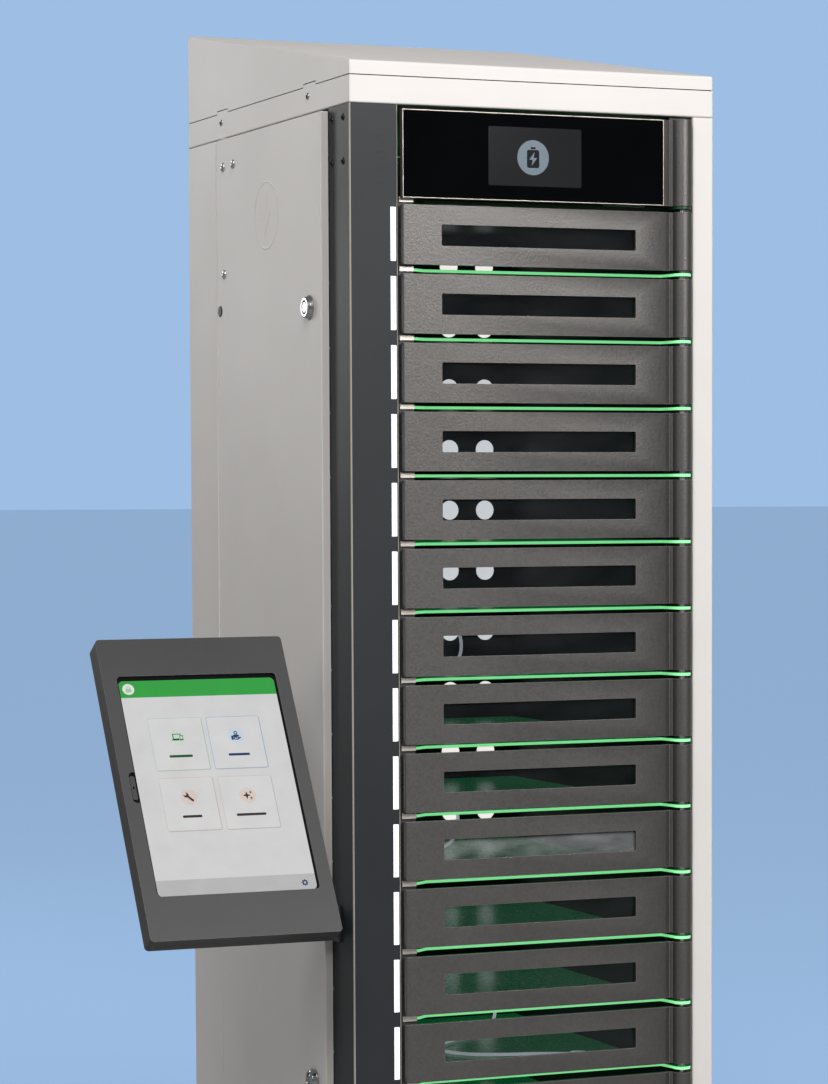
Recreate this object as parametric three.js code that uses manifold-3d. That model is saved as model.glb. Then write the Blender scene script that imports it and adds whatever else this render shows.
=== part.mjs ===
// A charging locker tower: fifteen bays with hinged doors in a steel cabinet, and a tilted sign-in tablet on its side.
// Millimetres, +Z up. The origin is the centre of the underside, the doors face -Y, and the tablet is on the -X side.
import * as THREE from "three";
import { mergeVertices } from "three/addons/utils/BufferGeometryUtils.js";
import Module from "manifold-3d";

const wasm = await Module();
wasm.setup();

// Cabinet. Inside the cabinet group, x = 0 is the left side, y = 0 the front of the column and z = 0 the floor.
const WIDTH = 393;
const DEPTH = 472;
const SHEET = 1.5;
const GAP = 0.3;
const BASE_TOP = 28;
const COLLAR_BOTTOM = 1179;
const COLLAR_TOP = 1205.5;
const CAP_FRONT_TOP = 1220;
const CAP_REAR_TOP = 1300.8;
const COLUMN_WIDTH = 50.4;
const COLUMN_DEPTH = 53.6;
const RIGHT_FLANGE_LEFT = 370.1;
const REAR_POST_FRONT = 362.3;
const REAR_POST_WIDTH = 83.7;
const PANEL_BOTTOM = BASE_TOP + GAP;
const PANEL_TOP = COLLAR_BOTTOM - GAP;

// Bays.
const BAYS = 15;
const PITCH = 66.5;
const BAY_BASE = 90;
const BAY_TOP = BAY_BASE + BAYS * PITCH;
const SHELF = 3;
const SHELF_LEFT = 67.3;
const SHELF_RIGHT = 345.6;
const SHELF_FRONT = 15;
const WALL_FRONT = 6;
const EAR_R = 9;
const EAR_REAR = 4.9;
const BAY_REAR = 380;
const CABLE_HOLES_X = [267.5, 309.8];
const CABLE_HOLE_R = 10.4;
const CABLE_HOLE_RISE = 31;

// Bay doors, and the hinge that they share.
const DOOR_HEIGHT = 57.5;
const DOOR_RISE = (PITCH - DOOR_HEIGHT) / 2;
const DOOR_LEFT = 52.3;
const DOOR_FACE_RIGHT = 335;
const DOOR_FRONT = -7;
const DOOR_BACK = -1;
const DOOR_SKIN = 3;
const FOLD_RIGHT = 342;
const FOLD_FRONT = -3.6;
const HINGE_X = 354.5;
const HINGE_Y = -6;
const BARREL_R = 10;
const HINGE_ROD_R = 3;
const BARREL_BORE_R = 3.5;
const DOOR_ARC_SEGMENTS = 9;
const SHELF_ARC_SEGMENTS = 5;
const WINDOW_LEFT = 93.3;
const WINDOW_RIGHT = 303;
const WINDOW_HEIGHT = 20.5;
const PANE_MARGIN = 8;
const HOOK_LEFT = 54.5;
const HOOK_WIDTH = 4;
const HOOK_TIP = 21;
const HOOK_HALF_HEIGHT = 6;

// Status light beside each bay.
const LIGHT_LEFT = 42.3;
const LIGHT_RIGHT = 48.6;
const LIGHT_RISE = 7.7;
const LIGHT_HEIGHT = 52.2;

// Service door on the left side, 9 mm proud of the cabinet.
const SERVICE_FRONT = 54.3;
const SERVICE_REAR = 359;
const SERVICE_PROUD = 9;
const SERVICE_INNER = -0.6;
const SERVICE_BOTTOM = 31;
const SERVICE_TOP = 1176;
const SERVICE_AXIS_X = -4.8;
const SERVICE_AXIS_Y = 354.5;
const SERVICE_ROD_R = 2.5;
const SERVICE_BORE_R = 2.9;
const LOCK_Y = 85;
const LOCK_UPPER_Z = 987.6;
const LOCK_LOWER_Z = 221.3;
const LOCK_BARREL_R = 8.5;
const LOCK_HEAD_R = 12;

// Display above the bays.
const DISPLAY_BOTTOM = BAY_TOP + SHELF / 2 + GAP;
const DISPLAY_TOP = 1174.3;
const LCD_LEFT = 142;
const LCD_RIGHT = 244;
const LCD_BOTTOM = 1102;
const LCD_TOP = 1163;

// Sign-in tablet in its enclosure, tilted back from upright.
const TABLET_TILT = THREE.MathUtils.degToRad(31);
const TABLET_CENTRE = [-157.7, -54, 533.4];
const ENCLOSURE = { width: 187.4, height: 312.8, depth: 21, wall: 2, corner: 4, split: 12 };
const SCREEN_OPENING = { width: 159.5, height: 228.6, corner: 4, right: 0.5, up: 2.4 };
const CAMERA_NOTCH = { width: 14, height: 32, corner: 4, reach: 6 };
const TABLET = { width: 179.5, height: 248.6, thickness: 7, corner: 12 };
const TABLET_LEAD_HOLE = { along: -100, radius: 8 };
const BRACKET = { left: -187, armLeft: -127, front: 34, rear: 51, bottom: 370, top: 396, wall: 2 };
const BRACKET_HEAD = { foot: -140, crest: -60 };
const BRACKET_LEAD_HOLE_R = 5;

// Charging leads.
const LEAD_R = 1.75;
const LEAD_ARC_SEGMENTS = 4;
const LEAD_STEP = 9;

const finish = (color, roughness, metalness) => ({ color, roughness, metalness });
const LIGHT_GREY = finish(0xb9b6b3, 0.5, 0.2);
const ANTHRACITE = finish(0x3d4043, 0.55, 0.2);
const DOOR_GREY = finish(0x55534f, 0.6, 0.1);
const GREEN = finish(0x3fae4f, 0.35, 0);
const CLEAR = finish(0x8fa0a0, 0.05, 0);
const BLACK_GLASS = finish(0x050607, 0.08, 0);
const BLACK = finish(0x1b1c1e, 0.5, 0.1);
const WHITE = finish(0xeeeeea, 0.4, 0);
const STEEL = finish(0xc8cacc, 0.25, 0.9);
const CHROME = finish(0xd8dadc, 0.12, 1);

// Turns a closed geometry into a solid.
function solid(geometry) {
  const bare = geometry.clone();
  bare.deleteAttribute("normal");
  bare.deleteAttribute("uv");
  const merged = mergeVertices(bare, 1e-3);
  return new wasm.Manifold(
    new wasm.Mesh({
      numProp: 3,
      vertProperties: merged.attributes.position.array,
      triVerts: new Uint32Array(merged.index.array),
    }),
  );
}

// Turns a solid back into a geometry.
function geometryOf(made) {
  const mesh = made.getMesh();
  const geometry = new THREE.BufferGeometry();
  geometry.setAttribute("position", new THREE.BufferAttribute(mesh.vertProperties, 3));
  geometry.setIndex(new THREE.BufferAttribute(mesh.triVerts, 1));
  geometry.computeVertexNormals();
  return geometry;
}

function join(...geometries) {
  return geometryOf(geometries.map(solid).reduce((all, next) => all.add(next)));
}

function cut(geometry, ...tools) {
  return geometryOf(tools.map(solid).reduce((rest, tool) => rest.subtract(tool), solid(geometry)));
}

function box(x0, x1, y0, y1, z0, z1) {
  const geometry = new THREE.BoxGeometry(x1 - x0, y1 - y0, z1 - z0);
  return geometry.translate((x0 + x1) / 2, (y0 + y1) / 2, (z0 + z1) / 2);
}

// A plan outline, drawn from above, stood up between two heights.
function upright(shape, z0, z1, curveSegments = 12) {
  const geometry = new THREE.ExtrudeGeometry(shape, { depth: z1 - z0, bevelEnabled: false, curveSegments });
  return geometry.translate(0, 0, z0);
}

// A side outline of [y, z] points, run from x0 to x1.
function lengthwise(points, x0, x1) {
  const shape = new THREE.Shape(points.map(([y, z]) => new THREE.Vector2(y, z)));
  const geometry = new THREE.ExtrudeGeometry(shape, { depth: x1 - x0, bevelEnabled: false });
  return geometry.rotateY(Math.PI / 2).rotateX(Math.PI / 2).translate(x0, 0, 0);
}

function uprightRod(radius, x, y, z0, z1, sides = 16) {
  const geometry = new THREE.CylinderGeometry(radius, radius, z1 - z0, sides);
  return geometry.rotateX(Math.PI / 2).translate(x, y, (z0 + z1) / 2);
}

function crosswiseRod(radius, x0, x1, y, z, sides = 20) {
  const geometry = new THREE.CylinderGeometry(radius, radius, x1 - x0, sides);
  return geometry.rotateZ(Math.PI / 2).translate((x0 + x1) / 2, y, z);
}

function depthwiseRod(radius, x, y0, y1, z, sides = 12) {
  const geometry = new THREE.CylinderGeometry(radius, radius, y1 - y0, sides);
  return geometry.translate(x, (y0 + y1) / 2, z);
}

// A plate with round corners in the x-z plane, from y0 to y1.
function roundedPlate(width, height, corner, y0, y1) {
  const w = width / 2;
  const h = height / 2;
  const shape = new THREE.Shape();
  shape.moveTo(-w + corner, -h);
  shape.lineTo(w - corner, -h);
  shape.absarc(w - corner, -h + corner, corner, -Math.PI / 2, 0);
  shape.lineTo(w, h - corner);
  shape.absarc(w - corner, h - corner, corner, 0, Math.PI / 2);
  shape.lineTo(-w + corner, h);
  shape.absarc(-w + corner, h - corner, corner, Math.PI / 2, Math.PI);
  shape.lineTo(-w, -h + corner);
  shape.absarc(-w + corner, -h + corner, corner, Math.PI, Math.PI * 1.5);
  const geometry = new THREE.ExtrudeGeometry(shape, { depth: y1 - y0, bevelEnabled: false, curveSegments: 4 });
  return geometry.rotateX(Math.PI / 2).translate(0, y1, 0);
}

function add(group, name, geometry, look) {
  const mesh = new THREE.Mesh(geometry, new THREE.MeshStandardMaterial(look));
  mesh.name = name;
  group.add(mesh);
}

const number = (n) => String(n).padStart(2, "0");

// Bay 1 is the highest.
const bayBottom = (bay) => BAY_BASE + (BAYS - bay) * PITCH;

const eachBay = (make) => Array.from({ length: BAYS }, (_, i) => make(i + 1));

// ---- Bay doors ----

// The plan of a door: a flat face, a shallow fold and a round hinge barrel that stands forward of the face.
function doorPlan() {
  const shape = new THREE.Shape();
  shape.moveTo(DOOR_LEFT, DOOR_BACK);
  shape.lineTo(DOOR_LEFT, DOOR_FRONT + 1);
  shape.lineTo(DOOR_LEFT + 1, DOOR_FRONT);
  shape.lineTo(DOOR_FACE_RIGHT, DOOR_FRONT);
  shape.lineTo(FOLD_RIGHT, FOLD_FRONT);
  shape.absarc(HINGE_X, HINGE_Y, BARREL_R, Math.PI, Math.PI * 2.84);
  const bore = new THREE.Path();
  bore.absarc(HINGE_X, HINGE_Y, BARREL_BORE_R, 0, Math.PI * 2);
  shape.holes.push(bore);
  return shape;
}

function bayDoor(bay) {
  const bottom = bayBottom(bay) + DOOR_RISE;
  const top = bottom + DOOR_HEIGHT;
  const middle = (bottom + top) / 2;
  const rim = 5;
  const face = upright(doorPlan(), bottom, top, DOOR_ARC_SEGMENTS);
  const pocket = box(DOOR_LEFT + 8, DOOR_FACE_RIGHT - rim, DOOR_FRONT + DOOR_SKIN, 0, bottom + rim, top - rim);
  const half = WINDOW_HEIGHT / 2;
  const window = box(WINDOW_LEFT, WINDOW_RIGHT, DOOR_FRONT - 1, 0, middle - half, middle + half);
  const hook = box(
    HOOK_LEFT,
    HOOK_LEFT + HOOK_WIDTH,
    DOOR_BACK - 2,
    HOOK_TIP,
    middle - HOOK_HALF_HEIGHT,
    middle + HOOK_HALF_HEIGHT,
  );
  return join(cut(face, pocket, window), hook);
}

function bayWindow(bay) {
  const middle = bayBottom(bay) + PITCH / 2;
  const half = WINDOW_HEIGHT / 2 + PANE_MARGIN;
  const front = DOOR_FRONT + DOOR_SKIN + GAP;
  return box(WINDOW_LEFT - PANE_MARGIN, WINDOW_RIGHT + PANE_MARGIN, front, front + 2, middle - half, middle + half);
}

// ---- Locker carcass ----

// A shelf's plan: its front corner is cut off at the left, and an ear at the right holds the hinge rod.
function shelfPlan() {
  const shape = new THREE.Shape();
  shape.moveTo(SHELF_LEFT, BAY_REAR);
  shape.lineTo(SHELF_LEFT, WALL_FRONT);
  shape.lineTo(SHELF_LEFT + 4, WALL_FRONT);
  shape.lineTo(SHELF_LEFT + 16, SHELF_FRONT);
  shape.lineTo(SHELF_RIGHT - 4, SHELF_FRONT);
  shape.absarc(HINGE_X, HINGE_Y, EAR_R, Math.PI * 0.92, Math.PI * 2.25);
  shape.lineTo(SHELF_RIGHT + 6, EAR_REAR);
  shape.lineTo(SHELF_RIGHT, EAR_REAR);
  shape.lineTo(SHELF_RIGHT, BAY_REAR);
  const bore = new THREE.Path();
  bore.absarc(HINGE_X, HINGE_Y, BARREL_BORE_R, 0, Math.PI * 2);
  shape.holes.push(bore);
  return shape;
}

function lockerCarcass() {
  const bottom = BAY_BASE - SHELF / 2;
  const top = BAY_TOP + SHELF / 2;
  const shelves = Array.from({ length: BAYS + 1 }, (_, i) => {
    const z = BAY_BASE + i * PITCH;
    return upright(shelfPlan(), z - SHELF / 2, z + SHELF / 2, SHELF_ARC_SEGMENTS);
  });
  const leftWall = box(SHELF_LEFT, SHELF_LEFT + SHEET, WALL_FRONT, BAY_REAR + SHEET, bottom, top);
  const rightWall = box(SHELF_RIGHT - SHEET, SHELF_RIGHT, WALL_FRONT, BAY_REAR + SHEET, bottom, top);
  const rearWall = box(SHELF_LEFT, SHELF_RIGHT, BAY_REAR, BAY_REAR + SHEET, bottom, top);
  const holes = eachBay((bay) =>
    CABLE_HOLES_X.map((x) =>
      depthwiseRod(CABLE_HOLE_R, x, BAY_REAR - 2, BAY_REAR + 4, bayBottom(bay) + CABLE_HOLE_RISE),
    ),
  ).flat();
  return cut(join(leftWall, rightWall, rearWall, ...shelves), ...holes);
}

// The rail that the doors latch into, with a lock body at each bay.
function latchRail() {
  const left = COLUMN_WIDTH + 3 * GAP;
  const right = SHELF_LEFT - GAP;
  const front = 2;
  const bottom = BAY_BASE - SHELF / 2;
  const top = BAY_TOP + SHELF / 2;
  const flange = box(left, right, front, front + SHEET, bottom, top);
  const web = box(right - SHEET, right, front, 62, bottom, top);
  const bodies = eachBay((bay) => {
    const middle = bayBottom(bay) + PITCH / 2;
    return box(left + 1, right - SHEET / 2, HOOK_TIP + 3, 60, middle - 18, middle + 18);
  });
  const slots = eachBay((bay) => {
    const middle = bayBottom(bay) + PITCH / 2;
    return box(HOOK_LEFT - 1.6, HOOK_LEFT + HOOK_WIDTH + 1.6, 0, HOOK_TIP, middle - 8, middle + 8);
  });
  return cut(join(flange, web, ...bodies), ...slots);
}

function hingeRod() {
  return uprightRod(HINGE_ROD_R, HINGE_X, HINGE_Y, BAY_BASE - 8, DISPLAY_TOP, 12);
}

function hingeChannel() {
  const left = SHELF_RIGHT + 2 * GAP;
  const right = RIGHT_FLANGE_LEFT - GAP;
  const front = 5.5;
  const rear = 60;
  const outside = box(left, right, front, rear, PANEL_BOTTOM, PANEL_TOP);
  return cut(outside, box(left + SHEET, right - SHEET, front + SHEET, rear + 1, PANEL_BOTTOM - 1, PANEL_TOP + 1));
}

// ---- Front column and its lights ----

function lightZ(bay) {
  const bottom = bayBottom(bay) + LIGHT_RISE;
  return [bottom, bottom + LIGHT_HEIGHT];
}

function leftFrontColumn() {
  const rear = COLUMN_DEPTH;
  const right = COLUMN_WIDTH;
  const front = box(0, right, 0, SHEET, PANEL_BOTTOM, PANEL_TOP);
  const side = box(0, SHEET, 0, rear, PANEL_BOTTOM, PANEL_TOP);
  const inside = box(right - SHEET, right, 0, 40, PANEL_BOTTOM, PANEL_TOP);
  const slots = eachBay((bay) => {
    const [bottom, top] = lightZ(bay);
    return box(LIGHT_LEFT, LIGHT_RIGHT, -1, SHEET + 1, bottom, top);
  });
  const leadHole = crosswiseRod(
    BRACKET_LEAD_HOLE_R,
    -1,
    SHEET + 1,
    (BRACKET.front + BRACKET.rear) / 2,
    (BRACKET.bottom + BRACKET.top) / 2,
    12,
  );
  return cut(join(front, side, inside), ...slots, leadHole);
}

function lightGuide() {
  const clearance = 0.4;
  const strip = box(LIGHT_LEFT - 3, LIGHT_RIGHT - GAP, SHEET + GAP, 6, BAY_BASE, BAY_TOP);
  const bars = eachBay((bay) => {
    const [bottom, top] = lightZ(bay);
    return box(LIGHT_LEFT + clearance, LIGHT_RIGHT - clearance, 0.2, 3, bottom + clearance, top - clearance);
  });
  return join(strip, ...bars);
}

// ---- Outer panels ----

function rightSidePanel() {
  const side = box(WIDTH - SHEET, WIDTH, 0, DEPTH, PANEL_BOTTOM, PANEL_TOP);
  const flange = box(RIGHT_FLANGE_LEFT, WIDTH, 0, SHEET, PANEL_BOTTOM, PANEL_TOP);
  const inside = box(RIGHT_FLANGE_LEFT, RIGHT_FLANGE_LEFT + SHEET, 0, 20, PANEL_BOTTOM, PANEL_TOP);
  return join(side, flange, inside);
}

// The post has two ears, which hold the service door's hinge rod.
function leftRearPost() {
  const side = box(0, SHEET, REAR_POST_FRONT, DEPTH, PANEL_BOTTOM, PANEL_TOP);
  const back = box(0, REAR_POST_WIDTH, DEPTH - SHEET, DEPTH, PANEL_BOTTOM, PANEL_TOP);
  const inside = box(0, 14, REAR_POST_FRONT, REAR_POST_FRONT + SHEET, PANEL_BOTTOM, PANEL_TOP);
  const earRear = REAR_POST_FRONT + 8;
  const earFront = SERVICE_AXIS_Y - 5.5;
  const earLeft = -SERVICE_PROUD;
  const lowerEar = box(earLeft, SHEET, earFront, earRear, PANEL_BOTTOM, PANEL_BOTTOM + SHEET);
  const upperEar = box(earLeft, SHEET, earFront, earRear, PANEL_TOP - SHEET, PANEL_TOP);
  const bore = uprightRod(SERVICE_BORE_R, SERVICE_AXIS_X, SERVICE_AXIS_Y, 0, COLLAR_TOP, 12);
  return cut(join(side, back, inside, lowerEar, upperEar), bore);
}

const INLET = { left: 300, right: 330, bottom: 48, top: 72 };

function rearPanel() {
  const plate = box(REAR_POST_WIDTH + GAP, WIDTH - SHEET - GAP, DEPTH - SHEET, DEPTH, PANEL_BOTTOM, PANEL_TOP);
  const opening = box(INLET.left, INLET.right, DEPTH - 5, DEPTH + 5, INLET.bottom, INLET.top);
  const vents = [160, 1100].flatMap((z) =>
    Array.from({ length: 6 }, (_, i) => box(170, 300, DEPTH - 5, DEPTH + 5, z + 8 * i, z + 8 * i + 3)),
  );
  return cut(plate, opening, ...vents);
}

function powerInlet() {
  const flange = box(INLET.left - 8, INLET.right + 8, DEPTH + GAP, DEPTH + 2, INLET.bottom - 3, INLET.top + 3);
  const body = box(
    INLET.left + GAP,
    INLET.right - GAP,
    DEPTH - 26,
    DEPTH + 1,
    INLET.bottom + GAP,
    INLET.top - GAP,
  );
  const mouth = box(INLET.left + 3, INLET.right - 3, DEPTH - 16, DEPTH + 5, INLET.bottom + 3, INLET.top - 3);
  const pinX = (INLET.left + INLET.right) / 2;
  const pinZ = (INLET.bottom + INLET.top) / 2;
  const pins = [-7, 0, 7].map((x) => box(pinX + x - 1, pinX + x + 1, DEPTH - 18, DEPTH - 4, pinZ - 2, pinZ + 2));
  return join(cut(join(flange, body), mouth), ...pins);
}

// The tray under the cabinet, with four holes for floor anchors.
function baseTray() {
  const tray = cut(box(0, WIDTH, 0, DEPTH, 0, BASE_TOP), box(SHEET, WIDTH - SHEET, SHEET, DEPTH - SHEET, 3, 40));
  const anchors = [40, WIDTH - 40].flatMap((x) => [60, DEPTH - 60].map((y) => uprightRod(6, x, y, -5, 10)));
  return cut(tray, ...anchors);
}

function kickPanel() {
  const left = COLUMN_WIDTH + 2 * GAP;
  const right = RIGHT_FLANGE_LEFT - GAP;
  const top = BAY_BASE - SHELF / 2 - GAP;
  const outside = box(left, right, DOOR_BACK, 5, PANEL_BOTTOM, top);
  return cut(outside, box(left + SHEET, right - SHEET, DOOR_BACK + SHEET, 30, PANEL_BOTTOM + SHEET, top - SHEET));
}

const TABS_Y = [105, 360.8];
const TAB_HALF = 17;
const TAB_RISE = 3.2;

function topCollar() {
  const inner = (z0, z1) => box(SHEET, WIDTH - SHEET, SHEET, DEPTH - SHEET, z0, z1);
  const ring = cut(box(0, WIDTH, 0, DEPTH, COLLAR_BOTTOM, COLLAR_TOP), inner(COLLAR_BOTTOM + SHEET, COLLAR_TOP + 5));
  const tabs = TABS_Y.flatMap((y) =>
    [0, WIDTH - SHEET].map((x) =>
      box(x, x + SHEET, y - TAB_HALF, y + TAB_HALF, COLLAR_TOP - 5, COLLAR_TOP + TAB_RISE),
    ),
  );
  const cableHole = uprightRod(20, 120, 420, COLLAR_BOTTOM - 5, COLLAR_BOTTOM + 5);
  return cut(join(ring, ...tabs), cableHole);
}

function slopedCap() {
  const bottom = COLLAR_TOP + GAP;
  const outline = (inset, low) => [
    [inset, low],
    [DEPTH - inset, low],
    [DEPTH - inset, CAP_REAR_TOP - inset],
    [inset, CAP_FRONT_TOP - inset],
  ];
  const shell = cut(lengthwise(outline(0, bottom), 0, WIDTH), lengthwise(outline(SHEET, 0), SHEET, WIDTH - SHEET));
  const notchHalf = TAB_HALF + 0.5;
  const notches = TABS_Y.map((y) =>
    box(-1, WIDTH + 1, y - notchHalf, y + notchHalf, bottom - 1, COLLAR_TOP + TAB_RISE + GAP),
  );
  return cut(shell, ...notches);
}

// ---- Service door, its hinge rod and its locks ----

function serviceDoor() {
  const outside = box(-SERVICE_PROUD, SERVICE_INNER, SERVICE_FRONT, SERVICE_REAR, SERVICE_BOTTOM, SERVICE_TOP);
  const hollow = box(
    -SERVICE_PROUD + SHEET,
    5,
    SERVICE_FRONT + SHEET,
    SERVICE_REAR - SHEET,
    SERVICE_BOTTOM + SHEET,
    SERVICE_TOP - SHEET,
  );
  const bore = uprightRod(SERVICE_BORE_R, SERVICE_AXIS_X, SERVICE_AXIS_Y, 0, COLLAR_TOP, 12);
  const lockHoles = [LOCK_UPPER_Z, LOCK_LOWER_Z].map((z) =>
    crosswiseRod(LOCK_BARREL_R + 0.5, -SERVICE_PROUD - 2, 0, LOCK_Y, z),
  );
  return cut(outside, hollow, bore, ...lockHoles);
}

function serviceHingeRod() {
  return uprightRod(SERVICE_ROD_R, SERVICE_AXIS_X, SERVICE_AXIS_Y, PANEL_BOTTOM, PANEL_TOP, 12);
}

// A cam lock: a round head with a key slot, a barrel through the door, and a blade that turns behind the column.
function serviceLock(z) {
  const head = crosswiseRod(LOCK_HEAD_R, -SERVICE_PROUD - 6, -SERVICE_PROUD - GAP, LOCK_Y, z);
  const barrel = crosswiseRod(LOCK_BARREL_R, -SERVICE_PROUD - 3, 4, LOCK_Y, z);
  const blade = box(2, 4, LOCK_Y - 8, LOCK_Y + 8, z - 10, z + 42);
  const keySlot = box(-SERVICE_PROUD - 8, -SERVICE_PROUD - 2, LOCK_Y - 1, LOCK_Y + 1, z - 4, z + 4);
  return cut(join(head, barrel, blade), keySlot);
}

// ---- Display ----

function displayFrame() {
  const face = upright(doorPlan(), DISPLAY_BOTTOM, DISPLAY_TOP, DOOR_ARC_SEGMENTS);
  const lip = 0.6;
  const glassPocket = box(
    DOOR_LEFT + lip,
    DOOR_FACE_RIGHT - 1.5,
    DOOR_FRONT - 1,
    DOOR_FRONT + 3,
    DISPLAY_BOTTOM + lip,
    DISPLAY_TOP - lip,
  );
  const lcdOpening = box(LCD_LEFT - GAP, LCD_RIGHT + GAP, DOOR_FRONT, 0, LCD_BOTTOM - GAP, LCD_TOP + GAP);
  return cut(face, glassPocket, lcdOpening);
}

function displayGlass() {
  const edge = 0.9;
  return box(
    DOOR_LEFT + edge,
    DOOR_FACE_RIGHT - 1.8,
    DOOR_FRONT - 0.2,
    DOOR_FRONT + 2.7,
    DISPLAY_BOTTOM + edge,
    DISPLAY_TOP - edge,
  );
}

function lcdModule() {
  return box(LCD_LEFT, LCD_RIGHT, DOOR_FRONT + 3, 4, LCD_BOTTOM, LCD_TOP);
}

// ---- Electronics ----

function mainController() {
  const bottom = BAY_TOP + SHELF / 2 + GAP;
  const housing = box(90, 300, 60, 190, bottom, bottom + 42);
  const sockets = [0, 1, 2, 3].map((i) => box(110 + 45 * i, 135 + 45 * i, 180, 195, bottom + 12, bottom + 26));
  return cut(housing, ...sockets);
}

// A rail on the rear panel with a charger for each bay.
function chargerRail() {
  const rear = DEPTH - SHEET - GAP;
  const rail = box(120, 160, rear - 4, rear, BAY_BASE + 10, BAY_TOP - 10);
  const chargers = eachBay((bay) => {
    const z = bayBottom(bay) + 10;
    return box(115, 165, rear - 34, rear - 3, z, z + 46);
  });
  return join(rail, ...chargers);
}

// A lead lies in its bay: out of the cable hole, down to the shelf, and along it to its connector.
// Points are [x, y, height above the bay's lower shelf line].
const LEAD_ROUTES = {
  7: [
    [267.5, 378, 31], [267.5, 366, 31], [265, 350, 29.5], [259, 330, 22], [250, 310, 12], [238, 290, 5.4],
    [220, 262, 3.6], [196, 238, 3.6], [168, 218, 3.6], [146, 192, 3.6], [134, 160, 3.6], [140, 128, 3.6],
    [160, 104, 3.6], [188, 90, 3.6], [216, 84, 3.6],
  ],
  10: [
    [267.5, 378, 31], [267.5, 366, 31], [263, 350, 29], [254, 330, 21], [240, 308, 10], [222, 286, 4.6],
    [196, 264, 3.6], [166, 246, 3.6], [138, 224, 3.6], [118, 194, 3.6], [112, 160, 3.6], [124, 130, 3.6],
    [148, 112, 3.6], [176, 102, 3.6],
  ],
  13: [
    [309.8, 378, 31], [309.8, 366, 31], [307, 350, 29], [299, 330, 21], [287, 308, 10], [272, 286, 4.6],
    [252, 262, 3.6], [226, 240, 3.6], [196, 220, 3.6], [172, 194, 3.6], [166, 162, 3.6], [182, 134, 3.6],
    [212, 118, 3.6], [246, 108, 3.6], [280, 92, 3.6],
  ],
};
const LEAD_PLUG = { length: 22, width: 9, thickness: 4.4, overlap: 3 };

function chargingLead(bay) {
  const z = bayBottom(bay);
  const points = LEAD_ROUTES[bay].map(([x, y, rise]) => new THREE.Vector3(x, y, z + rise));
  const path = new THREE.CatmullRomCurve3(points, false, "centripetal");
  const section = new THREE.Shape();
  section.absarc(0, 0, LEAD_R, 0, Math.PI * 2);
  const tube = new THREE.ExtrudeGeometry(section, {
    steps: Math.round(path.getLength() / LEAD_STEP),
    extrudePath: path,
    curveSegments: LEAD_ARC_SEGMENTS,
    bevelEnabled: false,
  });
  const end = points.at(-1);
  const way = path.getTangent(1);
  const { length, width, thickness, overlap } = LEAD_PLUG;
  const plug = new THREE.BoxGeometry(length, width, thickness);
  plug.rotateZ(Math.atan2(way.y, way.x));
  const centre = end.clone().addScaledVector(way, length / 2 - overlap);
  plug.translate(centre.x, centre.y, centre.z + 0.6);
  return join(tube, plug);
}

// ---- Tablet ----

function enclosureShell(y0, y1, plateY0, plateY1) {
  const { width, height, corner, wall } = ENCLOSURE;
  const outer = roundedPlate(width, height, corner, y0, y1);
  const inner = roundedPlate(width - 2 * wall, height - 2 * wall, corner - wall, y0 - 5, y1 + 5);
  const plate = roundedPlate(width, height, corner, plateY0, plateY1);
  return join(cut(outer, inner), plate);
}

function tabletFrontCover() {
  const { wall, split } = ENCLOSURE;
  const shell = enclosureShell(0, split, 0, wall);
  const { width, height, corner, right, up } = SCREEN_OPENING;
  const screenOpening = roundedPlate(width, height, corner, -5, 5).translate(right, 0, up);
  const notchX = right - width / 2 - CAMERA_NOTCH.reach + CAMERA_NOTCH.width / 2;
  const notch = roundedPlate(CAMERA_NOTCH.width, CAMERA_NOTCH.height, CAMERA_NOTCH.corner, -5, 5);
  return cut(shell, screenOpening, notch.translate(notchX, 0, 0));
}

function tabletBackCover() {
  const { depth, wall, split } = ENCLOSURE;
  const leadHole = depthwiseRod(TABLET_LEAD_HOLE.radius, 0, 0, depth + 5, TABLET_LEAD_HOLE.along, 16);
  return cut(enclosureShell(split + GAP, depth, depth - wall, depth), leadHole);
}

function tablet() {
  const front = ENCLOSURE.wall + GAP;
  return roundedPlate(TABLET.width, TABLET.height, TABLET.corner, front, front + TABLET.thickness);
}

// A hollow arm from the side of the front column to a wedge-shaped head on the back of the enclosure.
function tabletBracket() {
  const { left, armLeft, front, rear, bottom, top, wall } = BRACKET;
  const { foot, crest } = BRACKET_HEAD;
  const [centreX, centreY, centreZ] = TABLET_CENTRE;
  const behind = ENCLOSURE.depth + GAP;
  const onBack = (along, inset) => [
    centreY + (behind + inset) * Math.cos(TABLET_TILT) + along * Math.sin(TABLET_TILT),
    centreZ - (behind + inset) * Math.sin(TABLET_TILT) + along * Math.cos(TABLET_TILT),
  ];
  const head = (inset) => [
    onBack(foot + 2 * inset, inset),
    [rear - inset, bottom + inset],
    [rear - inset, top - inset],
    onBack(crest - 2 * inset, inset),
  ];
  const right = -3;
  const outside = join(
    lengthwise(head(0), left, armLeft),
    box(armLeft - 1, right, front, rear, bottom, top),
    box(right, -GAP, front - 3, rear + 2, bottom - 5, top + 5),
  );
  const hollowHead = lengthwise(head(wall), left + wall, armLeft - wall);
  const hollowArm = box(armLeft - wall - 2, 5, front + wall, rear - wall, bottom + wall, top - wall);
  const [leadY, leadZ] = onBack(TABLET_LEAD_HOLE.along, 0);
  const r = TABLET_LEAD_HOLE.radius;
  const leadHole = box(centreX - r, centreX + r, leadY - 12, leadY + 12, leadZ - r, leadZ + r);
  return cut(outside, hollowHead, hollowArm, leadHole);
}

// ---- Assembly ----

const cabinet = new THREE.Group();
cabinet.position.set(-WIDTH / 2, -DEPTH / 2, 0);

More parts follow.
